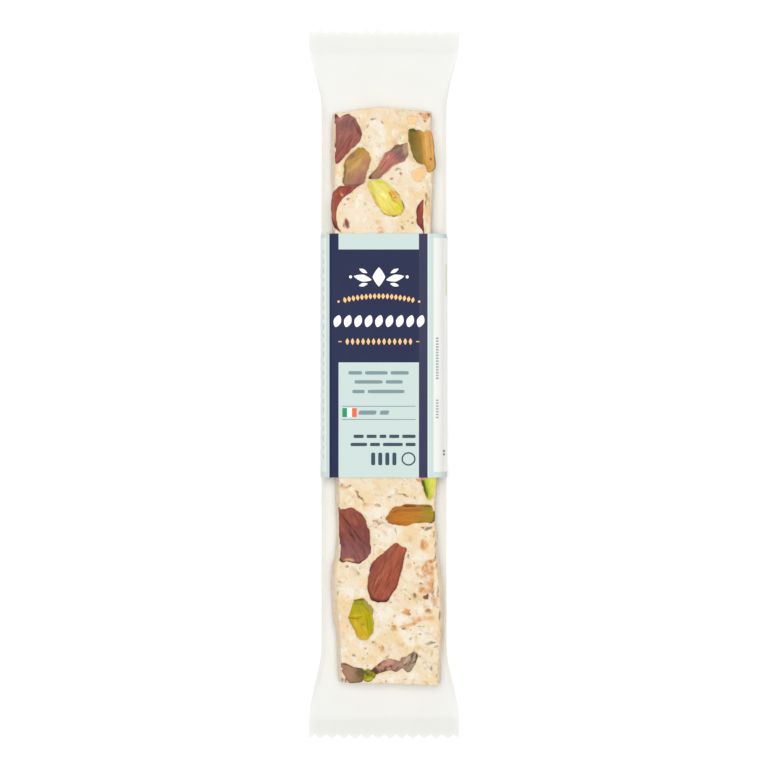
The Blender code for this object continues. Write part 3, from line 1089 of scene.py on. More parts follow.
def almonds() -> list[Nut]:
    """The almonds that show in the top of the bar, and the crumbs of almond skin."""
    kind = NutKind.ALMOND
    return [
        Nut("almond_a", kind, Outline((
            (-16.1, 87.8), (-16.2, 89.5), (-15.5, 90.1), (-15.1, 88.9), (-14.4, 88.4), (-13.5, 89.2), (-12.1, 89.7), (-10.6, 89.4), (-9.2, 88), (-8.4, 86.4),
            (-7.4, 83.9), (-7.8, 81.8), (-9, 79.7), (-10.7, 77.9), (-14.2, 74.5), (-16, 73.2), (-16.2, 80), (-16, 85))),
            62, ((150, 104, 98), (152, 94, 86), (150, 80, 72)), -70, (92, 46, 48), 0.42, spots=(
                Patch(-14.2, 88.3, 3.0, 1.1, 22, 0.6, (202, 124, 116), 0.08),
                Patch(-15.6, 89.4, 2.0, 1.2, 70, 0.85, (92, 52, 52)),
                Patch(-11.5, 86.2, 5.0, 3.4, -60, 0.45, (138, 100, 96)),
                # painted shade along the right edge, turned from the light
                Patch(-8.6, 84.6, 5.4, 0.9, -62, 0.7, (108, 56, 58)),
                Patch(-12.6, 80.4, 7.0, 0.5, 58, 0.5, (118, 56, 52), -0.08),
                Patch(-14.8, 82.6, 5.0, 0.6, 84, 0.5, (176, 112, 100), 0.05),
                Patch(-13.8, 84.6, 2.6, 0.4, -30, 0.4, (124, 74, 68), -0.06),
            )),
        Nut("almond_c", kind, Outline((
            (-14.7, 65.9), (-12.0, 66.0), (-10.2, 65.9), (-8.8, 65.4), (-8.0, 63.2), (-6.4, 58.4), (-8.2, 54.1), (-11.1, 51.8),
            (-14, 50.3), (-15.9, 51.2), (-17.3, 54.1), (-17.5, 59.8), (-17.0, 63.3))),
            80, ((150, 72, 64), (158, 80, 62), (152, 76, 60), (108, 52, 42)), -80, (80, 34, 30), 0.22, spots=(
                Patch(-14.2, 63.1, 1.5, 0.9, -62, 0.85, (240, 160, 104), 0.10),
                Patch(-14.9, 63.9, 2.6, 0.7, 40, 0.5, (192, 98, 70)),
                Patch(-17.0, 58.6, 8.0, 0.8, 88, 0.5, (190, 110, 88)),
                Patch(-12.0, 65.3, 4.4, 0.5, 0, 0.5, (120, 56, 50)),
            )),
        Nut("almond_g", kind, Outline((
            (13, 61.3), (12, 60.6), (11.2, 59.6), (10.5, 57.3), (10.7, 54.4), (11.1, 52.9), (12.5, 51.2), (13.1, 49.5), (12.8, 53.5), (12.8, 58.4))),
            90, ((104, 44, 42), (142, 64, 54), (154, 76, 62)), 0, (80, 32, 30), 0.28, spots=(
                Patch(12.2, 58.4, 3.0, 0.5, 80, 0.5, (170, 90, 78)),
                Patch(12.4, 52.2, 2.6, 0.9, -62, 0.7, (100, 46, 38)),
            )),
        Nut("almond_j", kind, Outline((
            (-16.7, -41.3), (-15.9, -41.8), (-14, -41.5), (-12.4, -41), (-11.2, -41.4), (-8.9, -43.5), (-7.4, -46.1),
            (-6.4, -48.4), (-6.1, -52.4), (-6.3, -56.3), (-7, -57.4), (-9.2, -59.1), (-10.3, -59.7), (-13.9, -59.1), (-15.6, -59.3),
            (-16.7, -58.4), (-16.1, -57.1), (-16.3, -50), (-16.4, -44.5))),
            -72, ((150, 78, 64), (144, 76, 64), (126, 70, 64), (136, 82, 80), (148, 90, 86)), -84, (80, 40, 40), 0.5, spots=(
                Patch(-13.8, -46.0, 6.2, 0.5, -53, 0.85, (82, 36, 34), -0.26),
                Patch(-10.8, -50.0, 5.6, 0.6, -58, 0.7, (84, 40, 42), -0.18),
                Patch(-15.0, -48.6, 6.0, 1.6, -66, 0.4, (156, 84, 70), 0.06),
                Patch(-11.4, -45.4, 3.4, 1.5, -66, 0.55, (178, 100, 84), 0.14),
                Patch(-12.6, -50.2, 3.4, 0.5, -40, 0.6, (92, 46, 46), -0.12),
                Patch(-9.2, -51.8, 4.0, 0.4, -52, 0.5, (96, 50, 50), -0.10),
                Patch(-7.7, -50.0, 7.4, 1.3, -80, 0.4, (140, 72, 64)),
                Patch(-13.2, -55.4, 4.6, 2.6, -20, 0.3, (156, 100, 98)),
                Patch(-13.7, -58.8, 3.6, 1.5, 0, 0.95, (208, 158, 112), 0.05),
                Patch(-16.0, -43.4, 2.2, 1.0, -60, 0.5, (112, 54, 48)),
            )),
        Nut("almond_k", kind, Outline((
            (2.7, -52.8), (3.7, -53.8), (5.9, -54.7), (5.3, -56.6), (4.1, -61.8), (3.1, -66.3), (0.6, -70.5), (-1.1, -72.4),
            (-2.8, -72.7), (-4.6, -72.4), (-6.3, -71.3), (-7.3, -67.7), (-7.2, -64.4), (-6.2, -61), (-5.2, -59.1), (-1.7, -56), (1.1, -53.5))),
            64, ((146, 78, 66), (160, 84, 62), (160, 82, 60), (144, 70, 54)), -28, (84, 38, 34), 0.52, spots=(
                # painted highlight near the top
                Patch(4.3, -54.9, 2.0, 1.2, -40, 0.6, (186, 84, 74)),
                Patch(0.2, -58.4, 6.0, 2.0, 60, 0.3, (172, 100, 80), 0.06),
                Patch(-3.9, -64.9, 4.6, 0.4, 64, 0.75, (194, 128, 104), 0.06),
                Patch(-2.5, -63.6, 4.2, 0.35, 62, 0.7, (192, 122, 98), 0.06),
                Patch(-1.0, -64.4, 4.0, 0.3, 66, 0.6, (186, 114, 92), 0.05),
                Patch(2.6, -58.4, 6.4, 0.4, 68, 0.5, (178, 102, 84), 0.05),
                Patch(-2.2, -61.0, 8.0, 0.4, 62, 0.5, (116, 56, 46), -0.08),
                Patch(1.0, -63.0, 8.0, 0.4, 68, 0.5, (120, 58, 48), -0.08),
                Patch(-4.4, -68.0, 5.0, 0.4, 66, 0.5, (122, 58, 50), -0.06),
                Patch(-1.4, -69.4, 4.6, 2.6, 60, 0.35, (178, 92, 72)),
                Patch(-5.9, -61.4, 7.4, 0.7, 62, 0.5, (122, 66, 64)),
                # painted shade along the right edge, turned from the light
                Patch(3.7, -61.6, 7.0, 0.5, 74, 0.5, (108, 48, 42)),
            )),
        Nut("bark_bit", kind, Outline(((-13.2, 55.5), (-12.4, 54.6), (-11.7, 53.4), (-11.7, 52), (-12.6, 51.8), (-13.5, 53.2))),
            70, ((168, 98, 84), (128, 66, 56)), -60, (112, 62, 54), 0.34, mottle=0.3),
        Nut("rust_bit", NutKind.CANDY, Outline(((11.1, -70.5), (11.9, -70), (12.9, -69.8), (13.2, -70.7), (12.7, -71.7), (11.9, -71.9), (11.2, -71.4))),
            0, ((158, 104, 84), (134, 84, 66), (158, 104, 92)), 60, (134, 92, 72), 0.16, mottle=0.1),
        Nut("tan_bit", NutKind.CANDY, Outline((
            (3.9, -75.9), (4.8, -75.6), (5.2, -74.9), (6, -75.2), (6.3, -75.9), (6.8, -76.7), (6, -76.9), (5.2, -76.4), (4.4, -76.3))),
            0, ((232, 178, 126), (222, 156, 94), (178, 112, 56)), -40, (206, 152, 100), 0.1, mottle=0.1),
    ]


def pistachios() -> list[Nut]:
    """The pistachios that show in the top of the bar."""
    kind = NutKind.PISTACHIO
    return [
        Nut("pistachio_b", kind, Outline((
            (-8.8, 78.7), (-7.9, 78.9), (-6.7, 78.4), (-5.3, 76.9), (-4.3, 74.8), (-4.8, 72.5), (-5.7, 70.5), (-6.5, 67.2),
            (-7.5, 66), (-9.5, 65.2), (-11.2, 65.3), (-13.3, 66.1), (-13.8, 67.1), (-13.6, 70.5), (-12.9, 74.3), (-11.7, 76.3))),
            60, ((166, 134, 66), (190, 146, 88), (172, 122, 96), (146, 94, 88)), -58, (92, 60, 48), 0.5, 0.03, spots=(
                Patch(-7.8, 77.6, 2.8, 1.5, -20, 0.85, (180, 146, 34)),
                Patch(-11.0, 75.8, 3.6, 1.6, 40, 0.65, (130, 90, 72)),
                Patch(-13.2, 70.4, 7.6, 1.2, 86, 0.8, (120, 108, 48)),
                Patch(-12.0, 68.0, 4.0, 1.6, 70, 0.45, (148, 116, 66)),
                # painted highlight along the raised diagonal
                Patch(-9.2, 73.0, 7.0, 1.5, 40, 0.6, (210, 166, 98), 0.08),
                Patch(-8.4, 75.2, 4.6, 0.4, 36, 0.5, (150, 118, 50), -0.08),
                Patch(-6.2, 73.2, 5.0, 1.2, -64, 0.5, (180, 120, 104)),
                Patch(-8.0, 69.0, 4.6, 2.0, 74, 0.45, (156, 102, 102)),
                Patch(-10.6, 70.6, 6.0, 0.4, 66, 0.4, (196, 146, 106), 0.05),
                Patch(-9.6, 66.2, 5.6, 0.8, 4, 0.75, (112, 68, 68)),
            )),
        Nut("pistachio_d", kind, Outline((
            (8, 80.3), (8.4, 78.3), (8, 76.2), (7.3, 74.4), (5.3, 73.7), (3.6, 72.9), (1.8, 71.4), (0.1, 69.9), (-1.7, 68.4),
            (-2.9, 67.9), (-4.9, 68), (-5.5, 68.7), (-2.8, 71.4), (-1.6, 73.7), (-0.4, 76), (0.7, 77.2), (2.8, 78.5), (4, 79.5), (6.8, 79.9))),
            48, ((130, 100, 70), (184, 128, 106), (190, 118, 104), (136, 98, 94), (170, 130, 94)), 44, (98, 64, 54), 0.42, 0.08, mottle=0.15, spots=(
                Patch(-4.9, 68.5, 1.6, 1.2, 30, 0.9, (88, 58, 36)),
                Patch(-3.0, 69.9, 2.4, 1.4, 50, 0.7, (148, 124, 90)),
                Patch(-1.7, 73.9, 6.4, 0.8, 56, 0.85, (226, 186, 162), 0.06),
                Patch(0.9, 74.0, 6.0, 1.3, 52, 0.5, (196, 110, 100), 0.08),
                # painted highlight on the raised body
                Patch(1.4, 75.6, 1.8, 0.6, 62, 0.7, (226, 166, 148), 0.06),
                Patch(4.9, 76.2, 4.0, 1.7, 58, 0.6, (126, 88, 92)),
                Patch(3.9, 78.6, 3.6, 0.8, 20, 0.9, (110, 96, 52), 0.05),
                Patch(7.2, 78.0, 3.6, 2.2, 75, 0.85, (184, 146, 122)),
                Patch(6.3, 77.0, 4.6, 0.4, -72, 0.5, (104, 72, 60), -0.10),
                Patch(1.1, 71.8, 7.0, 0.8, 44, 0.6, (138, 84, 78)),
                Patch(-0.4, 72.6, 6.0, 0.35, 52, 0.6, (140, 82, 72), -0.10),
                Patch(2.4, 74.6, 5.0, 0.35, 50, 0.5, (150, 88, 80), -0.08),
            )),
        Nut("pistachio_e", kind, Outline((
            (-5.3, 67.2), (-3.4, 68), (-1.1, 68.1), (0.5, 67.4), (2.3, 65.7), (4, 63.7), (5.7, 61.3), (6.7, 58.8), (6.4, 57.6),
            (5.2, 56.1), (3.9, 55.6), (2.3, 55.7), (0.4, 56.3), (-1.4, 57.7), (-2.8, 59.9), (-4.2, 62.6), (-5.3, 65.3))),
            -48, ((222, 208, 90), (229, 216, 112), (231, 212, 102), (213, 196, 52)), -40, (112, 90, 28), 0.6, spots=(
                Patch(-2.0, 67.2, 5.2, 0.9, -8, 0.8, (206, 212, 58)),
                # painted highlight across the raised middle
                Patch(-1.6, 64.4, 7.0, 1.6, -52, 0.6, (238, 234, 146), 0.10),
                Patch(-3.9, 63.8, 5.0, 0.8, -64, 0.6, (198, 190, 70)),
                Patch(3.0, 63.3, 2.4, 1.5, -46, 0.95, (236, 168, 76), 0.06),
                Patch(4.2, 61.3, 2.0, 1.3, -60, 0.9, (240, 188, 94), 0.10),
                Patch(2.1, 62.8, 2.4, 0.6, -62, 0.7, (156, 100, 36), -0.10),
                Patch(3.3, 62.0, 1.2, 0.6, 10, 0.6, (170, 106, 40), -0.06),
                Patch(3.0, 61.0, 2.2, 0.6, -40, 0.8, (196, 138, 52), -0.08),
                Patch(3.9, 64.0, 3.0, 0.5, -50, 0.8, (116, 88, 28)),
                Patch(6.3, 60.1, 3.8, 0.6, -74, 0.9, (92, 80, 20)),
                Patch(4.9, 58.6, 3.2, 1.5, -66, 0.7, (218, 212, 38)),
                Patch(-2.5, 60.3, 6.0, 0.8, -60, 0.8, (220, 174, 82)),
                Patch(1.4, 59.4, 6.4, 0.5, -50, 0.5, (244, 226, 122), 0.04),
                Patch(0.8, 57.0, 3.4, 0.6, -36, 0.5, (226, 194, 84)),
                Patch(3.6, 55.9, 3.0, 0.6, -4, 0.75, (178, 132, 44)),
            )),
        Nut("pistachio_f", kind, Outline((
            (8.5, 84.8), (9.5, 85.1), (10.9, 84.8), (12.4, 84.1), (13.4, 83.5), (14.2, 84.3), (15.4, 84.1), (16.1, 82.9), (16.5, 79),
            (17, 73.7), (16.8, 72), (16.0, 71.1), (15.2, 70.4), (14.4, 70.9), (13.7, 72.7), (12.5, 73.3), (10.8, 74.1), (9.5, 75.9), (8.5, 78.9), (8.2, 82))),
            -82, ((122, 101, 37), (126, 102, 38), (148, 114, 42), (194, 144, 66), (222, 168, 92), (218, 162, 92)), 6, (104, 84, 42), 0.5, 0.03,
            mottle=0.03, spots=(
                Patch(9.9, 80.4, 8.6, 1.8, -80, 0.5, (118, 102, 40)),
                Patch(10.9, 76.2, 3.2, 1.8, -58, 0.5, (126, 116, 72)),
                Patch(12.1, 79.2, 8.6, 1.4, -84, 0.55, (148, 116, 40)),
                Patch(13.3, 78.8, 8.6, 1.0, -84, 0.5, (200, 148, 68)),
                Patch(14.6, 78.0, 12.0, 1.8, -84, 0.6, (224, 168, 88), 0.05),
                # painted highlight line on the right facet
                Patch(14.1, 79.2, 8.0, 0.6, -85, 0.45, (238, 186, 112), 0.03),
                Patch(15.5, 79.6, 7.6, 0.35, -84, 0.6, (190, 136, 66), -0.06),
                Patch(16.3, 78.0, 9.0, 0.6, -84, 0.5, (206, 160, 92)),
                Patch(15.3, 83.2, 2.0, 1.2, -60, 0.75, (226, 148, 82)),
                Patch(15.6, 74.8, 0.9, 0.6, 90, 0.95, (132, 72, 32), -0.10),
                Patch(9.6, 84.4, 2.2, 0.9, -6, 0.9, (80, 80, 36)),
                Patch(16.9, 73.9, 4.0, 0.7, -84, 0.6, (146, 114, 54)),
                Patch(14.6, 71.8, 2.0, 1.0, 60, 0.5, (190, 136, 60)),
            )),
        Nut("pistachio_h", kind, Outline((
            (10.9, -28.8), (16, -28.8), (15.9, -33.1), (15.3, -35.9), (14.9, -37.5), (13.9, -38.6), (13, -38.4), (12.3, -37.1), (11.6, -34.8), (11, -33))),
            82, ((104, 108, 20), (178, 184, 50), (221, 212, 98), (212, 202, 104)), 4, (112, 108, 34), 0.5, 0.10,
            mottle=0.12, spots=(
                Patch(11.9, -33.9, 7.0, 1.1, -74, 0.9, (72, 82, 14)),
                Patch(11.7, -31.4, 2.4, 1.1, 0, 0.95, (214, 156, 118), 0.05),
                Patch(12.8, -35.2, 5.6, 0.6, -78, 0.7, (138, 158, 26)),
                Patch(14.6, -33.6, 6.4, 1.6, 86, 0.6, (214, 220, 92), 0.08),
                Patch(14.2, -31.0, 1.6, 0.9, 40, 0.4, (230, 232, 140)),
                Patch(13.9, -37.2, 2.2, 1.1, 80, 0.6, (192, 206, 52)),
                Patch(16.0, -34.4, 5.4, 0.5, 84, 0.8, (188, 172, 96)),
                Patch(15.2, -36.4, 3.0, 0.4, 72, 0.5, (148, 160, 44)),
            )),
        Nut("pistachio_i", kind, Outline((
            (-1.2, -45), (-0.5, -43.6), (0.4, -42.3), (1.6, -41.1), (3, -40.6), (4.6, -40.3), (7, -40.1), (9.8, -40.3), (12.5, -40.2),
            (14.4, -40.6), (15, -42.2), (15, -44.4), (14.5, -46.4), (12.5, -46.1), (9.7, -46.3), (6.9, -46.8), (4.7, -47.2), (2.3, -46.9), (0.1, -46.3))),
            0, ((168, 102, 34), (184, 112, 34), (184, 116, 34), (170, 120, 42), (154, 134, 34)), 0, (92, 58, 24), 0.46, spots=(
                Patch(4.2, -44.6, 7.6, 2.2, 0, 0.45, (196, 122, 42), 0.06),
                Patch(8.3, -45.2, 3.4, 1.4, 0, 0.7, (184, 130, 26)),
                Patch(13.4, -43.0, 4.4, 5.0, 0, 0.65, (156, 138, 30)),
                Patch(11.0, -44.4, 3.0, 2.0, 0, 0.4, (170, 128, 52)),
                Patch(6.7, -40.6, 4.4, 0.6, 0, 0.9, (92, 38, 28)),
                Patch(13.0, -40.7, 3.8, 0.5, -3, 0.8, (96, 76, 22)),
                Patch(7.6, -42.0, 7.4, 0.9, 0, 0.6, (158, 88, 34), -0.05),
                Patch(2.6, -42.2, 3.0, 0.8, 30, 0.6, (136, 78, 32)),
                Patch(14.0, -46.0, 1.8, 0.7, 0, 0.6, (164, 112, 72)),
            )),
        Nut("pistachio_l", kind, Outline((
            (-12, -71.7), (-10.5, -71.5), (-8.7, -71.6), (-7.2, -73.1), (-5.7, -75), (-5.9, -76.8), (-5.5, -79.2), (-5.7, -82.3),
            (-6.8, -84.5), (-8.1, -85.5), (-10, -85.4), (-11.1, -84.3), (-11.9, -81.8), (-13.2, -79), (-13.7, -77.5), (-12.9, -75.7), (-12.4, -73.7))),
            -80, ((164, 154, 6), (182, 164, 4), (188, 166, 8), (204, 168, 36)), -95, (98, 82, 20), 0.5, mottle=0.05, spots=(
                Patch(-10.4, -72.7, 3.2, 1.6, 0, 0.7, (140, 142, 10)),
                Patch(-10.1, -71.8, 3.8, 0.5, 0, 0.85, (90, 74, 16)),
                Patch(-7.2, -73.9, 4.4, 1.1, -52, 0.8, (168, 146, 96), 0.06),
                Patch(-8.1, -74.4, 3.8, 0.35, -52, 0.6, (104, 84, 30), -0.06),
                Patch(-12.2, -77.9, 3.0, 0.5, -6, 0.75, (118, 92, 14), -0.10),
                Patch(-10.2, -77.7, 2.0, 0.4, 24, 0.5, (136, 112, 20), -0.06),
                Patch(-10.6, -76.9, 3.6, 0.5, 4, 0.6, (210, 184, 50), 0.06),
                Patch(-10.6, -81.3, 6.2, 1.8, -66, 0.75, (216, 168, 50), 0.04),
                Patch(-8.6, -81.0, 4.4, 0.5, -70, 0.6, (208, 170, 84), 0.05),
                Patch(-9.1, -79.9, 1.3, 0.8, 0, 0.7, (158, 114, 30), -0.10),
                Patch(-6.5, -80.4, 7.0, 1.0, -88, 0.7, (166, 164, 12)),
                Patch(-7.6, -79.6, 5.0, 0.4, -84, 0.5, (130, 106, 18), -0.05),
                Patch(-8.9, -84.4, 2.6, 1.1, 0, 0.75, (208, 172, 72)),
                Patch(-11.6, -83.4, 3.4, 0.6, -58, 0.7, (116, 94, 30)),
            )),
        Nut("pistachio_m", kind, Outline((
            (-16.3, -93.1), (-15.2, -92.8), (-13.8, -93.4), (-12.2, -94.3), (-9.1, -94.8), (-8.7, -95.9), (-9, -97.8), (-9.5, -99.1),
            (-11.7, -99.3), (-13.6, -99.3), (-14.7, -98.3), (-15.5, -97), (-16.2, -95))),
            -30, ((162, 124, 102), (160, 122, 98), (142, 112, 80), (98, 84, 46)), 0, (88, 62, 50), 0.36, spots=(
                Patch(-14.0, -96.0, 4.6, 2.0, -50, 0.5, (172, 132, 110), 0.06),
                Patch(-10.3, -96.0, 2.6, 2.6, -30, 0.75, (98, 84, 46)),
                Patch(-14.6, -93.3, 3.4, 0.6, -8, 0.8, (98, 68, 56)),
                Patch(-11.6, -94.4, 4.0, 0.6, -14, 0.6, (108, 84, 58)),
            )),
        Nut("pistachio_m_tip", kind, Outline((
            (-9, -95.2), (-7.5, -94.9), (-5.9, -95.2), (-5.2, -95.9), (-5.2, -97), (-5.9, -98.1), (-7, -98.8), (-8.4, -99), (-9.2, -98.8), (-8.9, -96.7))),
            0, ((104, 98, 24), (154, 150, 28), (128, 118, 24)), -40, (80, 68, 24), 0.38, mottle=0.4, spots=(
                Patch(-5.9, -95.4, 2.4, 0.9, -14, 0.9, (80, 54, 38)),
                Patch(-7.6, -96.6, 1.4, 1.0, 0, 0.7, (82, 78, 14)),
                Patch(-7.0, -98.2, 2.6, 0.9, 12, 0.75, (198, 196, 58)),
            )),
        Nut("moss_bit", kind, Outline(((-10.9, -62.8), (-10.2, -62.6), (-9.9, -63.3), (-10.5, -63.8), (-11, -63.4))),
            0, ((202, 184, 116), (190, 170, 100)), 0, (186, 164, 104), 0.10),
        Nut("lemon_bit", kind, Outline(((13.3, -89.3), (13.7, -88.6), (14, -89.4), (13.9, -90.3), (13.5, -90.5))),
            90, ((232, 216, 140), (206, 190, 92)), -90, (196, 180, 96), 0.08),
    ]


def fruits() -> list[Nut]:
    """The pieces of fig and of candied fruit that show in the top of the bar."""
    kind = NutKind.FRUIT
    return [
        Nut("fig_n_tip", kind, Outline((
            (3.6, -91.3), (5.3, -90.7), (6.4, -89.7), (7.5, -89.2), (8.6, -89.4), (9, -90.9), (8.7, -92.3), (7.8, -93.9),
            (6.7, -95.3), (5.7, -95.8), (4.4, -94.8), (3.4, -93.4))),
            58, ((168, 132, 116), (180, 150, 130), (148, 126, 106), (110, 88, 74)), 20, (96, 76, 58), 0.40, mottle=0.5, spots=(
                Patch(5.6, -91.6, 3.6, 0.8, 52, 0.7, (206, 182, 152), 0.10),
                Patch(7.6, -91.2, 3.6, 0.7, 66, 0.6, (188, 172, 148), 0.08),
                Patch(6.6, -92.6, 4.0, 0.5, 60, 0.6, (120, 92, 78), -0.12),
                Patch(6.2, -94.4, 2.0, 1.2, 40, 0.7, (150, 150, 116)),
                Patch(8.6, -91.2, 3.0, 0.6, 78, 0.8, (84, 68, 52)),
            )),
        Nut("fig_n", kind, Outline((
            (-6.4, -95.0), (-5.2, -94.2), (-3.6, -93), (-1.9, -92.1), (-0.5, -91.6), (1.4, -92), (2.6, -92.3), (4.2, -92.2), (4.9, -93.6), (4.2, -94.9),
            (3.5, -94.6), (2.6, -95.2), (1.5, -95.8), (0.2, -95.2), (-1.1, -95.3), (-3.1, -96), (-4.2, -96.3), (-5.2, -97.0), (-6.0, -96.4))),
            18, ((106, 80, 64), (150, 104, 90), (186, 134, 116), (194, 150, 130), (172, 138, 116)), 10,
            (96, 68, 56), 0.36, mottle=0.42, spots=(
                Patch(-5.5, -95.6, 2.6, 2.2, -40, 0.9, (84, 58, 42)),
                Patch(-3.4, -94.2, 2.8, 0.5, 38, 0.7, (196, 134, 120), 0.08),
                Patch(-1.0, -93.0, 4.0, 0.6, 16, 0.6, (206, 146, 134), 0.10),
                Patch(-0.6, -94.0, 4.0, 0.5, 10, 0.6, (132, 76, 66), -0.10),
                Patch(1.8, -93.4, 2.6, 0.6, 20, 0.5, (208, 162, 146), 0.10),
                Patch(3.4, -93.2, 1.8, 0.7, 40, 0.5, (206, 172, 152), 0.08),
                Patch(1.3, -95.2, 2.6, 0.5, 30, 0.7, (96, 76, 64)),
                Patch(-2.4, -95.6, 3.0, 0.5, 6, 0.6, (108, 74, 62)),
            )),
        Nut("peach_bit", NutKind.CANDY, Outline(((9.4, 70.5), (10.4, 71.5), (11.8, 71.9), (13.2, 71.7), (13.9, 70.8), (13.6, 69.4), (12.6, 68.2), (11.2, 67.5), (10.1, 68.1), (9.5, 69.3))),
            10, ((246, 205, 152), (244, 199, 143)), 0, (245, 207, 158), 0.06, rim_width=0.3, mottle=0.0),
        Nut("pale_bit", NutKind.CANDY, Outline(((8.4, 89), (9.8, 89.1), (11.1, 89), (11.3, 88), (11.1, 87.1), (9.8, 86.9), (8.4, 87), (8.2, 88))),
            0, ((246, 210, 154), (245, 206, 146)), 0, (246, 214, 164), 0.05, rim_width=0.3, mottle=0.0),
        Nut("red_bit", NutKind.CANDY, Outline(((11.8, 89.9), (12.9, 90.3), (14.4, 90.5), (15.6, 90.1), (15.5, 88.7), (14.4, 87.7), (13.9, 86.9), (13.1, 87.5), (13, 88.6))),
            30, ((232, 192, 158), (226, 176, 136), (216, 160, 122)), 0, (216, 172, 138), 0.12, rim_width=0.2, mottle=0.4, spots=(
                Patch(15.1, 89.5, 1.4, 0.8, 80, 0.85, (128, 96, 70)),
                Patch(13.7, 87.4, 1.4, 0.8, -30, 0.85, (116, 96, 76)),
                Patch(12.3, 90.0, 1.0, 0.5, 0, 0.7, (150, 108, 82)),
                Patch(13.9, 88.4, 1.2, 0.5, 60, 0.5, (196, 138, 106)),
            )),
    ]


def cut_nuts(face: BarFace, stations: Sequence[float], heights: Sequence[float], seed: int) -> list[Nut]:
    """Nuts cut through on a side, an end or the underside of the bar.

    Args:
        face: the face that they show in.
        stations: their places along the face, in millimetres.
        heights: their places up the face.
        seed: starts the random sizes, turns and kinds.

    Returns:
        One nut for each place.
    """
    draws = np.random.default_rng(seed)
    nuts = []
    for i, (across, up) in enumerate(zip(stations, heights)):
        almond = bool(draws.random() < 0.45)
        length = draws.uniform(9, 13) if almond else draws.uniform(7, 10)
        width = length * draws.uniform(0.42, 0.6)
        on_bottom = face is BarFace.BOTTOM
        tilt = draws.uniform(-20, 20) + (draws.choice([60, 90, 120]) if on_bottom else 0)
        widest = 7.4 if on_bottom else 4.8
        outline = Outline.oval((across, up), float(length), float(min(width, widest)), float(tilt), float(draws.uniform(0, 0.3)))
        flesh = ((236, 220, 184), (230, 210, 170)) if almond else ((206, 204, 96), (222, 212, 118), (190, 176, 70))
        # rim: the brown skin round the cut flesh, laid on as painted shade, strongest on the edge turned from the light
        rim = (138, 78, 58) if almond else (128, 92, 66)
        kind = NutKind.ALMOND if almond else NutKind.PISTACHIO
        name = f"{kind.value}_{face.name.lower()}_{i}"
        nuts.append(Nut(name, kind, outline, float(tilt), flesh, float(tilt) + 60, rim, 0.10, 0.0, 0.16, face))
    return nuts


TOASTED = (
    Patch(14.2, -64.8, 1.5, 4.6, 0, 1.0),
    Patch(9.9, -63.8, 2.8, 1.2, -50, 1.0),
    Patch(12.7, -61.8, 4.2, 5.0, 0, 0.75),
    Patch(14.0, -59.0, 2.4, 1.1, 20, 1.0),
    Patch(11.0, -61.7, 1.5, 1.5, 0, 0.8),
    Patch(11.2, -68.6, 3.6, 2.0, 0, 0.9),
    Patch(9.4, -66.6, 4.0, 1.6, -10, 0.4),
    Patch(13.8, -67.6, 2.4, 3.4, 0, 0.7),
    Patch(14.8, -72.4, 2.6, 3.4, 0, 0.5),
    Patch(15.9, -60.6, 0.8, 1.8, 0, 0.9),
    Patch(-17.6, -53.2, 1.2, 5.0, 0, 0.6),
    Patch(-18.4, -62.0, 1.4, 6.0, 0, 0.5),
    Patch(11.7, -53.7, 2.6, 4.0, 0, 0.8),
    Patch(12.6, -66.4, 3.6, 2.0, 0, 0.5),
    Patch(9.4, -61.0, 2.2, 1.2, 30, 0.6),
    Patch(6.2, -60.7, 2.2, 1.8, 0, 0.6),
    Patch(-3.1, -55.5, 2.0, 1.2, 30, 0.6),
    Patch(7.4, -51.6, 2.0, 2.2, 0, 0.6),
    Patch(11.0, -31.9, 3.2, 1.6, 0, 0.8),
    Patch(-7.9, -40.2, 1.6, 1.4, 0, 0.8),
    Patch(-3.5, -40.4, 2.0, 1.2, 0, 0.8),
    Patch(1.2, -81.1, 2.4, 2.2, 0, 1.0),
    Patch(6.5, -80.1, 6.0, 1.1, 14, 1.0),
    Patch(10.4, -78.1, 6.0, 1.4, 4, 0.7),
    Patch(14.0, -78.0, 2.4, 2.0, 0, 0.6),
    Patch(-2.7, -88.0, 1.4, 1.8, 0, 0.9),
    Patch(3.7, -86.8, 2.2, 1.0, 40, 0.5),
    Patch(12.9, -75.7, 2.2, 1.8, 0, 0.7),
    Patch(-1.5, 51.2, 2.2, 2.2, 0, 0.7),
    Patch(-2.2, 53.8, 2.0, 1.4, 0, 0.5),
    Patch(14.4, 60.0, 1.4, 10.0, 0, 0.5),
    Patch(-15.9, 82.0, 1.0, 6.0, 0, 0.4),
    Patch(-15.4, -34.0, 3.0, 2.4, 0, 0.4),
)

WHITENED = (
    Patch(-2.6, 82.4, 8.0, 9.6, 0, 0.72),
    Patch(-1.6, 76.6, 5.6, 4.0, 0, 0.7),
    Patch(7.0, 71.4, 7.0, 4.0, 0, 0.5),
    Patch(11.3, 66.6, 5.0, 5.0, 0, 0.6),
    Patch(-8.0, 58.0, 10.0, 7.0, 0, 0.4),
    Patch(0.4, -50.0, 8.0, 5.6, 0, 1.0),
    Patch(-4.2, -42.6, 8.0, 3.6, 0, 0.8),
    Patch(12.1, -50.4, 4.6, 4.0, 0, 0.7),
    Patch(10.4, -57.0, 4.6, 3.2, 0, 0.7),
    Patch(11.0, -66.2, 5.0, 1.8, 0, 1.0),
    Patch(-12.8, -67.4, 7.0, 5.0, 0, 0.5),
    Patch(-2.3, -75.9, 6.6, 5.4, 0, 0.8),
    Patch(3.8, -77.9, 3.8, 2.4, 0, 1.0),
    Patch(9.2, -84.0, 12.0, 5.8, 0, 0.8),
    Patch(-10.2, -89.0, 9.0, 5.0, 0, 0.5),
    Patch(-0.3, -97.6, 8.6, 2.2, 0, 0.5),
)

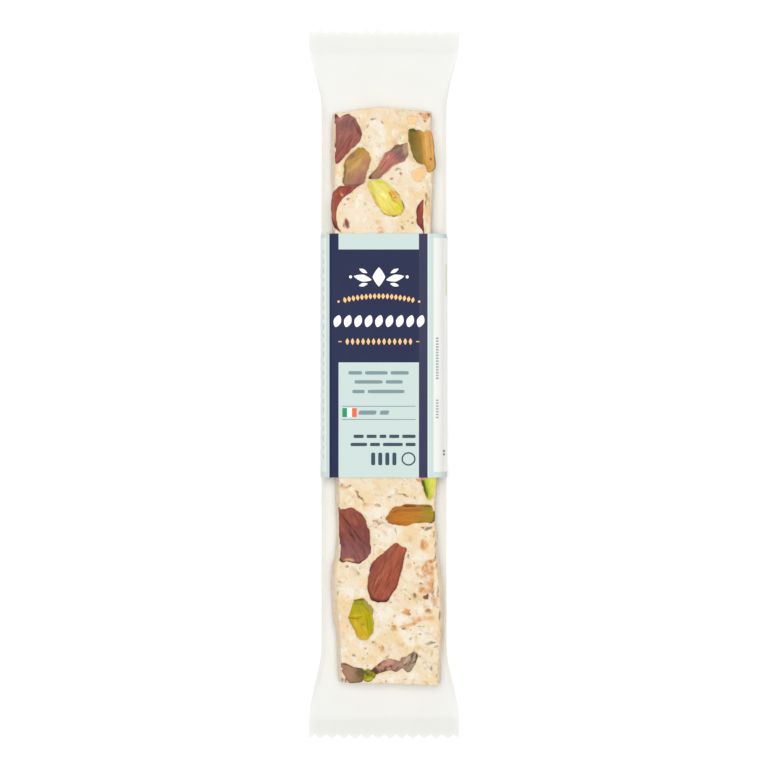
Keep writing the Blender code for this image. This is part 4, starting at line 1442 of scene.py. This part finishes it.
# crevice marks: each sinks the relief and is painted dark, a painted shade in the crevice
CREVICES = (
    Patch(-10.3, -36.4, 1.7, 0.5, -65), Patch(-9.7, -37.3, 1.1, 0.7, -40, 1.3), Patch(-8.9, -38.0, 0.9, 0.5, 0, 1.2), Patch(-8.4, -38.5, 0.7, 0.5, -40), Patch(4.3, -36.8, 3.4, 0.5, -5),
    Patch(0.6, -37.3, 1.6, 0.6), Patch(5.7, -37.2, 1.8, 0.4, -30), Patch(8.7, -37.9, 1.2, 0.4, -40),
    Patch(-13.2, -34.1, 1.8, 0.5, 20), Patch(-15.6, -33.7, 1.4, 0.7, 30), Patch(-4.1, -45.7, 2.0, 0.5, -25),
    Patch(-2.7, -46.4, 1.8, 0.4, 10), Patch(2.4, -48.8, 2.4, 0.4, 96), Patch(12.7, -47.9, 3.0, 0.9, 5, 1.5),
    Patch(12.0, -48.4, 1.6, 0.6, -20), Patch(14.8, -50.2, 2.0, 0.5, 80, 1.3), Patch(15.5, -53.3, 1.6, 0.5, 80, 1.4),
    Patch(6.2, -57.2, 1.2, 0.8, -70), Patch(15.6, -57.2, 2.2, 0.6, 70, 1.3), Patch(-14.2, -60.7, 0.9, 0.7),
    Patch(-10.4, -63.2, 0.9, 0.9), Patch(-16.3, -66.2, 1.8, 0.4, -20), Patch(-17.3, -69.8, 1.8, 0.4, 90),
    Patch(16.0, -68.9, 3.6, 0.5, 88, 1.2), Patch(16.5, -77.4, 3.4, 0.9, 84, 2.0), Patch(14.4, -69.2, 1.7, 0.6, 80), Patch(1.6, -77.4, 1.0, 0.6, 50),
    Patch(8.4, -70.5, 1.6, 1.0, 70, 1.2), Patch(12.6, -75.4, 1.4, 1.1, 0, 0.7), Patch(6.6, -71.4, 0.9, 0.8), Patch(9.9, -83.0, 1.4, 0.6),
    Patch(6.7, -84.8, 0.9, 0.7), Patch(4.4, -81.4, 1.3, 0.6, 10, 1.0), Patch(9.7, -80.4, 1.4, 0.3),
    Patch(11.2, -80.5, 1.0, 0.3), Patch(-5.9, -85.9, 1.1, 0.7, 10), Patch(13.3, -86.4, 3.2, 0.8, 18),
    Patch(15.2, -87.6, 1.2, 0.6, 60), Patch(-12.1, -90.1, 1.0, 0.7), Patch(-1.2, -91.0, 1.3, 0.4, 30),
    Patch(13.6, -95.0, 1.1, 0.8, 70), Patch(15.0, -97.0, 1.6, 0.4, 85), 
    Patch(-3.4, 88.3, 1.5, 0.5, 10), Patch(-5.3, 85.9, 1.3, 0.5, 70), Patch(-0.3, 87.0, 1.4, 0.6, -40),
    Patch(-12.0, 61.4, 1.3, 1.0), Patch(-6.4, 60.0, 1.1, 0.7, -30), Patch(-13.4, 52.9, 1.6, 0.6, -70),
    Patch(-12.1, 52.2, 1.2, 1.0), Patch(2.4, 68.3, 1.7, 0.7, -20), Patch(4.3, 71.4, 1.6, 0.6, 15),
    Patch(5.5, 69.9, 0.9, 0.7), Patch(14.0, 61.2, 5.0, 0.5, 90), Patch(15.8, 56.7, 1.6, 0.4, 90),
    Patch(-16.2, -98.6, 1.5, 0.6, 85, 2.5), Patch(-15.2, -98.9, 1.3, 0.6, 80, 2.5), Patch(6.0, 52.0, 1.1, 0.6, -30), Patch(9.2, 55.5, 1.3, 0.6, 60),
)


@dataclass
class NougatBar:
    """The cut slab of nougat, lying a little askew in its film, with the nuts set into it.

    swell_left and swell_right are how far each side bulges past half_width, in millimetres, at
    swell_stations along the bar.
    """

    far_gap: float = 27.2 * MM
    near_gap: float = 19.3 * MM
    half_width: float = 17.45 * MM
    underside: float = 0.75 * MM
    top: float = 13.35 * MM
    lean: float = -0.01325
    lean_y: float = -4.6 * MM
    middle_x: float = 1.05 * MM
    arch: float = 1.6 * MM
    corner: float = 0.38 * MM
    skew: float = 0.4 * MM
    open_pitch: float = 0.29 * MM
    covered_pitch: float = 1.8 * MM
    seed: int = 41
    flakes: int = 330
    swell_stations: tuple[float, ...] = (
        -100, -95, -88, -84, -80, -75, -69, -61, -58.5, -55, -50, -46, -40, -34, 50, 60, 66, 73, 78, 86, 91)
    swell_left: tuple[float, ...] = (
        -0.1, 0.1, 0.5, 0.6, 1.5, 1.7, 2.4, 2.1, 1.0, 0.5, 0, -0.1, 0.2, 0.2, 0.3, 0.3, 0.15, 0.15, 0.25, 0.2, -0.2)
    swell_right: tuple[float, ...] = (
        -0.8, -0.8, -0.15, 0.5, 0.6, 0.7, 0.5, -0.4, -0.8, -1.1, -1.3, -1.85, -1.7, -0.7, -1.7, -1.3, -0.75, -0.8, -0.85, -1.2, -1.1)

    def __post_init__(self) -> None:
        """Places the bar between the film's ends and the band's edges, and lists its nuts."""
        film_low, film_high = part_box("film_wrap")
        band_low, band_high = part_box("label_band")
        self.far_y = float(film_high[1]) - self.far_gap
        self.near_y = float(film_low[1]) + self.near_gap
        self.band = (float(band_low[1]) + 2.5 * MM, float(band_high[1]) - 2.5 * MM)
        self.noise = LatticeNoise(self.seed)
        self.middle_z = (self.top + self.underside) / 2
        self.nuts = almonds() + pistachios() + fruits() + self.side_nuts()

    def side_nuts(self) -> list[Nut]:
        """The nuts that show in the bar's sides, ends and underside where the band leaves it open."""
        right = (-90.0, -77.0, -62.0, -46.0, 60.0, 76.0)
        left = (-92.0, -78.0, -63.0, -42.0, 56.0, 74.0)
        low = ((-10, -88), (6, -82), (-4, -70), (10, -64), (-11, -55), (3, -46), (11, -38), (-10, 60), (5, 56), (11, 70), (-3, 74), (-10, 84), (6, 84))
        return [
            *cut_nuts(BarFace.RIGHT, right, (-2.0, -2.6, -1.8, -2.4, -1.9, -2.5), 11),
            *cut_nuts(BarFace.LEFT, [-y for y in left], (-2.3, -1.8, -2.5, -2.0, -2.6, -1.9), 12),
            *cut_nuts(BarFace.BOTTOM, [-x for x, _ in low], [y for _, y in low], 13),
            *cut_nuts(BarFace.FAR, (-9.0, 4.0), (-1.4, -2.0), 14),
            *cut_nuts(BarFace.NEAR, (-6.0, 8.0), (-1.8, -1.2), 16),
        ]

    def placed(self, points: Array) -> Array:
        """Bar places as pack places: x gains middle_x plus lean times the distance past lean_y."""
        moved = points.copy()
        moved[..., 0] += self.middle_x + self.lean * (points[..., 1] - self.lean_y)
        return moved

    def swell(self, rightward: bool, y: Array) -> Array:
        """How far one side bulges past half_width at each y, in metres."""
        amounts = self.swell_right if rightward else self.swell_left
        return np.interp(y / MM, self.swell_stations, amounts) * MM

    def origin(self, face: BarFace) -> Array:
        """The place on a face that its nuts are measured from."""
        return {
            BarFace.TOP: np.array([0, 0, self.top]),
            BarFace.BOTTOM: np.array([0, 0, self.underside]),
            BarFace.LEFT: np.array([0.25 * MM - self.half_width, 0, self.middle_z]),
            BarFace.RIGHT: np.array([self.half_width - 0.25 * MM, 0, self.middle_z]),
            BarFace.FAR: np.array([0, self.far_y - 0.3 * MM, self.middle_z]),
            BarFace.NEAR: np.array([0, self.near_y, self.middle_z]),
        }[face]

    def section(self) -> tuple[Array, Array]:
        """The bar's cross section.

        Its sides bow out: x is half_width - 0.024 (z + 1)^2, in millimetres from mid height. The
        four corners are rounded by averaging the outline over the corner's length. Points lie
        closer together on the top than on the sides and the underside.

        Returns:
            The x and z of each point, anticlockwise, and the outward direction there.
        """
        half_height = (self.top - self.underside) / 2
        z = np.linspace(-half_height, half_height, 300)
        side = self.half_width - 0.024 * (z / MM + 1) ** 2 * MM
        rough = np.concatenate([np.column_stack([side, z]), np.column_stack([-side, z])[::-1]])
        path = np.concatenate([rough, rough[:1]])
        length = np.concatenate([[0], np.cumsum(np.hypot(*np.diff(path, axis=0).T))])
        even = np.linspace(0, length[-1], SECTION_FINE, endpoint=False)
        path = np.column_stack([np.interp(even, length, path[:, i]) for i in (0, 1)])
        reach = int(round(self.corner / (length[-1] / SECTION_FINE)))
        spread = range(-reach, reach + 1)
        path = np.mean([np.roll(path, shift, axis=0) for shift in spread], axis=0)
        ahead = np.roll(path, -1, axis=0) - np.roll(path, 1, axis=0)
        normal = np.column_stack([ahead[:, 1], -ahead[:, 0]]) / np.hypot(*ahead.T)[:, None]
        pitch = np.interp(normal[:, 1], [-0.8, -0.2, 0.2, 0.8], [1.1, 0.6, 0.55, 0.29]) * MM
        travelled = np.cumsum(length[-1] / SECTION_FINE / pitch)
        wanted = np.linspace(travelled[0], travelled[-1], int(travelled[-1]), endpoint=False)
        columns = [np.interp(wanted, travelled, values) for values in (*path.T, *normal.T)]
        return np.column_stack(columns[:2]), np.column_stack(columns[2:])

    def stations(self) -> Array:
        """Where the sections lie: close together in the open, far apart under the band."""
        near = np.arange(self.near_y + self.corner, self.band[0], self.open_pitch)
        covered = np.arange(self.band[0], self.band[1], self.covered_pitch)
        far = np.arange(self.band[1], self.far_y - self.corner, self.open_pitch)
        return np.concatenate([near, covered, far])

    def body(self) -> tuple[Array, Array]:
        """The slab before its relief.

        The section is carried along the bar, drawn in by corner (1 - cos t) as it rounds each end,
        and then shrunk to its middle over the flat end. Each side bulges by its swell, times the
        sixth power of the place's distance from the middle line. The near end's right corner lies
        skew further out than its middle, and the left corner skew further in.

        Returns:
            Points and outward directions, by section and by place round it.
        """
        outline, outward = self.section()
        turn = np.linspace(0, np.pi / 2, 4)[1:]
        shrink = np.linspace(1, 0.04, 15)[1:]
        rows: list[tuple[float, float, float, float]] = []
        for end, edge in ((-1, self.near_y), (1, self.far_y)):
            rounded = [(edge + end * self.corner * (math.sin(t) - 1), self.corner * (1 - math.cos(t)), 1.0, end * math.sin(t)) for t in turn]
            flat = [(edge, self.corner, float(s), float(end)) for s in shrink]
            rows = rows + rounded + flat if end > 0 else flat[::-1] + rounded[::-1]
            if end < 0:
                rows += [(float(y), 0.0, 1.0, 0.0) for y in self.stations()]
        y, inset, scale, tip = (np.array(values)[:, None] for values in zip(*rows))
        x = (outline[:, 0] - outward[:, 0] * inset) * scale
        z = (outline[:, 1] - outward[:, 1] * inset) * scale + self.middle_z
        bulge = np.where(x > 0, self.swell(True, y), -self.swell(False, y)) * (np.abs(x) / self.half_width) ** 6
        bow = self.arch * np.sin(np.clip(x / self.half_width, -1, 1) * np.pi / 2) ** 2 * smooth_step((y - self.far_y + 12 * MM) / (12 * MM))
        skew = self.skew * x / self.half_width * smooth_step((self.near_y + 12 * MM - y) / (12 * MM))
        points = np.stack([x + bulge, y - bow - skew, z], axis=-1)
        level = np.sqrt(np.clip(1 - tip**2, 0, 1))
        normals = np.stack([outward[:, 0] * level, np.broadcast_to(tip, x.shape), outward[:, 1] * level], axis=-1)
        return points, normals

    def strayed(self, points: Array) -> Array:
        """The x and y of each point in millimetres, each moved by up to 0.4 by its own noise."""
        drift = [self.noise.at(points + shift, 1.3 * MM) for shift in (0.11, 0.27)]
        return points[..., :2] / MM + 0.4 * np.stack(drift, axis=-1)

    def sunk(self, points: Array, normals: Array, nut: Nut, fray: Array) -> tuple[Array, Array]:
        """How far a nut pushes the nougat in under itself, and how far past its outline each point is."""
        right, up, out = (np.array(axis, float) for axis in nut.face.value)
        local = points - self.origin(nut.face)
        places = np.stack([local @ right, local @ up], axis=-1) / MM
        facing = (normals @ out > 0.4) & (np.abs(local @ out) < 3 * MM)
        outside = np.where(facing, nut.outline.outside(places) + fray, 99.0)
        depth = 0.8 * (1 - smooth_step((outside + 0.55) / 0.5))
        lip = 0.12 * np.exp(-(((outside - 0.45) / 0.5) ** 2))
        return (lip - depth) * MM, outside

    def relief(self, points: Array, normals: Array) -> tuple[Array, Array, Array]:
        """How far the nougat stands out at each point.

        Broad and middling soft noise, creases where a middling noise passes through zero, fine
        lumps, pores where a finer noise peaks, the crevices, rougher ground where it is toasted,
        long folds down the right edge, the hollow under each nut, and a smear that covers part
        of one almond.

        Returns:
            The height in metres, how close each point is to a nut, and how low its small relief
            lies, both from 0 to 1; the finish paints shade by the last two.
        """
        places = points[..., :2] / MM
        on_top = np.clip(normals[..., 2], 0, 1)
        noise = self.noise
        fray = 0.34 * noise.at(points, 1.5 * MM) + 0.16 * noise.at(points, 0.6 * MM)
        broad = 0.20 * noise.at(points, 7 * MM) + 0.14 * noise.at(points, 3.2 * MM)
        turned = points @ np.array([[0.8, 0.6, 0], [-0.6, 0.8, 0], [0, 0, 1]]) * np.array([0.45, 1.0, 1.0])
        crease = 1 - smooth_step(np.abs(noise.layered(turned + 0.3, 2.6 * MM, 2, 0.5)) / 0.16)
        where = smooth_step((noise.at(points + 0.9, 6 * MM) + 0.25) / 0.6)
        fine = 0.10 * noise.layered(points, 1.3 * MM, 2, 0.6) - 0.13 * crease * where
        pores = smooth_step((noise.at(turned + 0.5, 0.9 * MM) - 0.5) / 0.25) * (0.3 + 0.7 * where)
        toast = np.clip(sum(patch.cover * patch.at(places, noise.at(points, 1.6 * MM)) for patch in TOASTED), 0, 1) * on_top
        strayed = self.strayed(points)
        cracks = np.clip(sum(patch.cover * patch.at(strayed, 1.4 * fray) for patch in CREVICES), 0, 1) * on_top
        fine = fine - 0.2 * pores - 0.24 * cracks + toast * 0.22 * noise.layered(points + 0.2, 0.9 * MM, 2, 0.6)
        folded = np.exp(-(((places[..., 0] - 14.9) / 1.5) ** 2)) * on_top
        folded = folded * smooth_step((places[..., 1] - 48) / 3) * smooth_step((68 - places[..., 1]) / 4)
        streaked = noise.at(points * np.array([1.0, 0.09, 1.0]), 0.8 * MM)
        fine = fine + folded * (0.1 + 0.4 * streaked)
        lifted = places[..., 1] - 55.8 - 1.7 * smooth_step((places[..., 0] + 12) / 3.5) * (places[..., 1] > 58)
        smear_gap = np.hypot((places[..., 0] + 8.9) / 7.4, lifted / 8.0) - 1 + 0.03 * fray
        smear = (1 - smooth_step((smear_gap + 0.02) / 0.05)) * (normals[..., 2] > 0.4)
        raised = smear * (1 - smooth_step((places[..., 0] + 9) / 6))
        height = ((broad + fine) * (1 - 0.5 * raised) + 0.55 * raised) * MM
        closeness = np.zeros(points.shape[:-1])
        for nut in self.nuts:
            push, outside = self.sunk(points, normals, nut, fray)
            hidden = smear if nut.name == "almond_c" else 0.0
            height = height + push * (1 - hidden)
            near = 1 - smooth_step((outside + 0.1) / 0.5)
            closeness = np.maximum(closeness, near * (1 - hidden))
        low = np.clip(0.35 - fine / 0.3 + 0.5 * cracks, 0, 1)
        return np.clip(height, -1.6 * MM, 0.6 * MM), closeness, low

    def slab(self) -> tuple[Shape, Array, Array]:
        """The nougat itself, and its points and outward directions for crumbs to sit on."""
        points, normals = self.body()
        height, closeness, low = self.relief(points, normals)
        places = points[..., :2] / MM
        on_top = np.clip(normals[..., 2], 0, 1)
        frayed = self.noise.at(points, 1.6 * MM)
        toast = sum(patch.cover * patch.at(places, frayed) for patch in TOASTED) * on_top
        toast = toast + 0.5 * smooth_step((self.noise.at(points, 5.5 * MM) - 0.5) / 0.3) * (1 - on_top)
        pale = sum(patch.cover * patch.at(places, frayed) for patch in WHITENED) * on_top
        # dark: where the crevices lie, painted as shade by the finish
        dark = sum(patch.cover * patch.at(self.strayed(points), frayed) for patch in CREVICES) * on_top
        points = points + normals * height[..., None]
        rows, columns = points.shape[:2]
        faces: list[Sequence[int]] = grid_faces(rows, columns, wrap=True).tolist()
        faces += [list(range(columns)), list(range((rows - 1) * columns, rows * columns))]
        # hollow, low and dark carry painted shade; side carries the paler tone painted on the sides
        measures = {"toast": toast, "pale": pale, "dark": dark, "hollow": closeness, "low": low, "side": 1 - on_top}
        held = {name: np.clip(values, 0, 1).ravel() for name, values in measures.items()}
        shape = Shape(self.placed(points).reshape(-1, 3), faces, measures=held)
        free = (closeness < 0.02) & (np.abs(normals[..., 1]) < 0.2)
        covered = (points[..., 1] > self.band[0]) & (points[..., 1] < self.band[1])
        free &= ~covered
        return shape, self.placed(points)[free], normals[free]

    def nut_shape(self, nut: Nut) -> Shape:
        """A nut as a closed body.

        Its top is a dome over the outline, crown (1 - r^2.6) high at r of the way out. Its flank
        drops from the outline into the nougat, and its base closes below. Small noise drawn out
        along the nut wrinkles it, and its spots stand up or sink.
        """
        largest = float(nut.outline.reach(np.linspace(0, 6, 20)).max())
        on_top = nut.face is BarFace.TOP
        spokes, domes = (144, 30) if on_top and largest > 3 else (48, 10)
        angles = np.linspace(0, 2 * np.pi, spokes, endpoint=False)
        reach = nut.outline.reach(angles) + (0.12 if on_top else 0.0)
        edge = np.stack([reach * np.cos(angles), reach * np.sin(angles), 0 * angles + len(nut.name)], axis=-1)
        reach = reach + 0.14 * self.noise.at(edge, 1.4) + 0.08 * self.noise.at(edge, 0.6)
        out = np.linspace(0.03, 1, domes) ** 0.85
        radius = np.concatenate([np.outer(out, reach), [reach + 0.12, reach + 0.18, reach * 0.85]])
        ratio = np.concatenate([out, [1.0, 1.0, 1.0]])
        rise = np.concatenate([nut.crown * (1 - out**2.6), [-0.3, -0.95, -1.6]])
        a, b = radius * np.cos(angles), radius * np.sin(angles)
        turn = math.radians(nut.length_degrees)
        u, v = a * math.cos(turn) + b * math.sin(turn), b * math.cos(turn) - a * math.sin(turn)
        own = np.full_like(u, 3.7 * len(nut.name) + nut.crown)
        wrinkle = self.noise.layered(np.stack([u / 5, v / 0.9, own], axis=-1), 1.0, 2)
        wrinkle = wrinkle + 0.5 * self.noise.at(np.stack([u, v, own], axis=-1), 1.1)
        fade = (1 - ratio**6)[:, None] + 0.15
        lump = {NutKind.ALMOND: 0.07, NutKind.PISTACHIO: 0.04, NutKind.FRUIT: 0.11, NutKind.CANDY: 0.03}[nut.kind]
        middle = nut.outline.middle()
        places = np.stack([a + middle[0], b + middle[1]], axis=-1)
        wander = self.noise.at(np.stack([a, b, own], axis=-1), 0.9)
        spotted = [(spot, spot.at(places, wander)) for spot in nut.spots]
        height = rise[:, None] + lump * wrinkle * fade - nut.ridge * np.abs(v)
        height = height + sum(spot.rise * strength for spot, strength in spotted) * fade
        if nut.face in (BarFace.LEFT, BarFace.RIGHT):
            height = height - 0.024 * (places[..., 1] + 1) ** 2
        right, up, outwards = (np.array(axis, float) for axis in nut.face.value)
        local = places[..., :1] * right + places[..., 1:] * up + height[..., None] * outwards
        points = local * MM + self.origin(nut.face)
        if nut.face in (BarFace.LEFT, BarFace.RIGHT):
            points = points + self.swell(nut.face is BarFace.RIGHT, points[..., 1])[..., None] * outwards
        rows, columns = radius.shape
        faces: list[Sequence[int]] = grid_faces(rows, columns, wrap=True).tolist()
        faces += [list(range(columns)), list(range((rows - 1) * columns, rows * columns))]
        shades = self.nut_shades(nut, a, b, np.broadcast_to(ratio[:, None], a.shape), wrinkle, spotted)
        flat = np.stack([u, v], axis=-1).reshape(-1, 2) + 1.7 * len(nut.name)
        return Shape(self.placed(points).reshape(-1, 3), faces, shades=shades.reshape(-1, 3), places=flat)

    def nut_shades(
        self, nut: Nut, a: Array, b: Array, ratio: Array, wrinkle: Array, spotted: Sequence[tuple[Patch, Array]]
    ) -> Array:
        """A nut's colours.

        Its shades follow each other across it, its spots lie over them, wrinkles darken and lighten
        them, and the edge turned away from the light takes the rim's colour as painted shade.

        Args:
            nut: the nut.
            a: each point's distance right of the nut's middle, in millimetres.
            b: each point's distance above it.
            ratio: how far out each point is, from 0 to 1 at the outline.
            wrinkle: the height of the wrinkles.
            spotted: each spot with its presence at each point.

        Returns:
            Linear colours.
        """
        turn = math.radians(nut.shade_degrees)
        across = a * math.cos(turn) + b * math.sin(turn)
        place = (across - across.min()) / (across.max() - across.min())
        own = np.full_like(a, nut.crown * 50)
        wander = self.noise.at(np.stack([a, b, own], axis=-1), 2.4)
        grain = self.noise.layered(np.stack([a, b, own], axis=-1), 1.0 if nut.mottle > 0.2 else 2.4, 2, 0.7)
        place = np.clip(place + nut.mottle * grain, 0, 1)
        stops = np.linspace(0, 1, len(nut.shades))
        linear_shades = np.array([linear(shade) for shade in nut.shades])
        mixed = np.stack([np.interp(place, stops, linear_shades[:, i]) for i in range(3)], axis=-1)
        for spot, strength in spotted:
            share = (spot.cover * strength)[..., None]
            mixed = mixed * (1 - share) + np.array(linear(spot.colour)) * share
        # the colour follows the wrinkles' height: lighter on their tops and darker in their lows
        wrinkle_tone = {NutKind.ALMOND: 0.18, NutKind.PISTACHIO: 0.10, NutKind.FRUIT: 0.2, NutKind.CANDY: 0.0}[nut.kind]
        mixed = mixed * (1 + wrinkle_tone * np.clip(wrinkle, -1, 1) * (nut.mottle > 0))[..., None]
        # painted shade: the rim is laid on most strongly at the lower right edge, turned from the light
        shaded = np.clip(0.45 + 0.75 * (0.5 * a - 0.85 * b) / np.hypot(a, b).max(), 0.12, 1)
        edge = smooth_step((ratio + 0.07 * wander - 1 + nut.rim_width) / nut.rim_width) * shaded
        return mixed * (1 - edge[..., None]) + np.array(linear(nut.rim)) * edge[..., None]

    def crumbs(self, points: Array, normals: Array) -> Shape:
        """Small flakes of skin, nut and caramel, each a low six-sided dome, set on the nougat.

        Args:
            points: places on the nougat that are free of nuts.
            normals: the outward directions there.

        Returns:
            All the flakes as one shape.
        """
        draws = np.random.default_rng(self.seed + 5)
        upward = normals[:, 2] > 0.7
        gathered = smooth_step((self.noise.at(points + 0.35, 4.5 * MM) + 0.1) / 0.7) + 0.12
        chance = np.where(upward, 3.0, 1.6) * gathered
        chosen = draws.choice(len(points), self.flakes, replace=False, p=chance / chance.sum())
        base, out = points[chosen], normals[chosen]
        count, sides = len(chosen), 6
        hint = draws.normal(size=(count, 3))
        first = np.cross(out, hint)
        first /= np.linalg.norm(first, axis=1, keepdims=True)
        second = np.cross(out, first)
        size = draws.lognormal(math.log(0.2), 0.42, count).clip(0.09, 0.55) * MM
        squeeze = draws.uniform(0.35, 1.0, count)
        angles = np.linspace(0, 2 * np.pi, sides, endpoint=False) + draws.uniform(-0.3, 0.3, (count, sides))
        rough = draws.uniform(0.7, 1.2, (count, sides)) * size[:, None]
        rings = []
        for spread, lift in ((1.0, -0.10), (1.0, 0.05), (0.55, 0.22)):
            x = spread * rough * np.cos(angles)
            y = spread * rough * np.sin(angles) * squeeze[:, None]
            ring = base[:, None] + x[..., None] * first[:, None] + y[..., None] * second[:, None]
            rings.append(ring + (lift * size[:, None, None] + 0.01 * MM) * out[:, None])
        solid = np.stack(rings, axis=1).reshape(count, 3 * sides, 3)
        faces_one = [*grid_faces(3, sides, wrap=True).tolist(), list(range(sides)), list(range(2 * sides, 3 * sides))]
        faces = [[i + k * 3 * sides for i in face] for k in range(count) for face in faces_one]
        palette = np.array([linear(c) for c in ((192, 164, 134), (168, 140, 116), (214, 180, 132), (206, 186, 142), (182, 166, 132), (194, 150, 124), (142, 114, 92))])
        weights = np.array([6, 4, 4, 4, 4, 1, 2]) / 25
        tint = palette[draws.choice(len(palette), count, p=weights)] * draws.uniform(0.85, 1.15, (count, 1))
        shades = np.repeat(tint, 3 * sides, axis=0)
        places = np.repeat(draws.uniform(0, 40, (count, 2)), 3 * sides, axis=0)
        return Shape(solid.reshape(-1, 3), faces, shades=shades, places=places)

    def build(self) -> None:
        """Makes the slab, its nuts and its crumbs."""
        slab, free, outward = self.slab()
        add_piece("nougat_slab", slab, [NougatFinish().build("nougat")], Slot.NOUGAT, sharp=180)
        skins = {
            NutKind.ALMOND: (SkinFinish((0.22, 1.7), 0.85, 0.0003, 0.55).build("almond_skin"), Slot.ALMOND),
            NutKind.PISTACHIO: (SkinFinish((0.35, 1.4), 0.34, 0.00014, 0.5).build("pistachio_skin"), Slot.PISTACHIO),
            NutKind.CANDY: (SkinFinish((1.0, 1.0), 0.1, 0.00004, 0.6).build("candied_peel"), Slot.NOUGAT),
            NutKind.FRUIT: (SkinFinish((1.8, 3.2), 0.85, 0.00035, 0.6).build("fig_skin"), Slot.ALMOND),
        }
        for nut in self.nuts:
            if nut.face is BarFace.TOP:
                finish, slot = skins[nut.kind]
                add_piece(nut.name, self.nut_shape(nut), [finish], slot, sharp=180)
        for kind in (NutKind.ALMOND, NutKind.PISTACHIO):
            cut = [self.nut_shape(nut) for nut in self.nuts if nut.face is not BarFace.TOP and nut.kind is kind]
            add_piece(f"cut_{kind.value}s", Shape.joined(cut), [skins[kind][0]], skins[kind][1], sharp=180)
        flakes = SkinFinish((1.0, 1.0), 0.3, 0.00005, 0.6).build("crumb")
        add_piece("crumbs", self.crumbs(free, outward), [flakes], Slot.ALMOND)


# ---------------------------------------------------------------------------------------------
# The studio
# ---------------------------------------------------------------------------------------------


@dataclass(frozen=True)
class Lamp:
    """A square soft lamp, aimed at the middle of the pack."""

    name: str
    place: tuple[float, float, float]
    size: float
    power: float
    tint: Colour = (255, 255, 255)


@dataclass
class Studio:
    """A pale floor, even soft light from all round with a soft lamp, and a camera looking down."""

    view_width: float = 258.05 * MM
    view_level: float = 6.2 * MM
    camera_height: float = 0.75
    sensor: float = 36.0
    sky: float = 0.43
    lamps: tuple[Lamp, ...] = (
        Lamp("key_lamp", (-0.03, 0.08, 1.23), 0.5, 11.1, (255, 254, 252)),
        Lamp("right_lamp", (0.25, -0.2, 1.2), 0.5, 1.0),
    )

    def build(self) -> None:
        """Makes the floor, the light and the camera."""
        self.make_floor()
        self.make_light()
        self.make_camera()

    def make_floor(self) -> None:
        """A wide flat square just under the pack."""
        half = 1.5
        mesh = bpy.data.meshes.new("floor")
        corners = [(-half, -half, 0.0), (half, -half, 0.0), (half, half, 0.0), (-half, half, 0.0)]
        mesh.from_pydata([(x, y, z - 0.05 * MM) for x, y, z in corners], [], [(0, 1, 2, 3)])
        mesh.materials.append(FloorFinish().build("floor_white"))
        floor = bpy.data.objects.new("floor", mesh)
        bpy.context.scene.collection.objects.link(floor)

    def make_light(self) -> None:
        """An even white sky and the soft lamps."""
        world = bpy.data.worlds.new("studio")
        world.use_nodes = True
        background = world.node_tree.nodes["Background"]
        background.inputs["Color"].default_value = (1.0, 1.0, 1.0, 1.0)
        background.inputs["Strength"].default_value = self.sky
        bpy.context.scene.world = world
        for lamp in self.lamps:
            light = bpy.data.lights.new(lamp.name, "AREA")
            light.shape = "SQUARE"
            light.size = lamp.size
            light.energy = lamp.power
            light.color = linear(lamp.tint)
            placed = bpy.data.objects.new(lamp.name, light)
            placed.location = lamp.place
            direction = -np.array(lamp.place)
            flat = math.hypot(direction[0], direction[1])
            placed.rotation_euler = (math.atan2(flat, -direction[2]), 0.0, math.atan2(-direction[0], direction[1]))
            bpy.context.scene.collection.objects.link(placed)

    def make_camera(self) -> None:
        """A camera straight above the pack's middle, with the lens that gives the wanted width."""
        camera = bpy.data.cameras.new("camera")
        camera.sensor_width = self.sensor
        camera.lens = self.sensor * (self.camera_height - self.view_level) / self.view_width
        camera.clip_start = 0.01
        placed = bpy.data.objects.new("camera", camera)
        placed.location = (0.0, 0.0, self.camera_height)
        bpy.context.scene.collection.objects.link(placed)
        bpy.context.scene.camera = placed
        bpy.context.scene.view_settings.view_transform = "Standard"


def main() -> None:
    """Builds the bar, its film, its band and the studio, in that order."""
    logging.basicConfig(level=logging.INFO, format="%(message)s", stream=sys.stdout)
    NougatBar().build()
    FilmSkin().build()
    LabelBand().build()
    Studio().build()


if __name__ == "__main__":
    main()
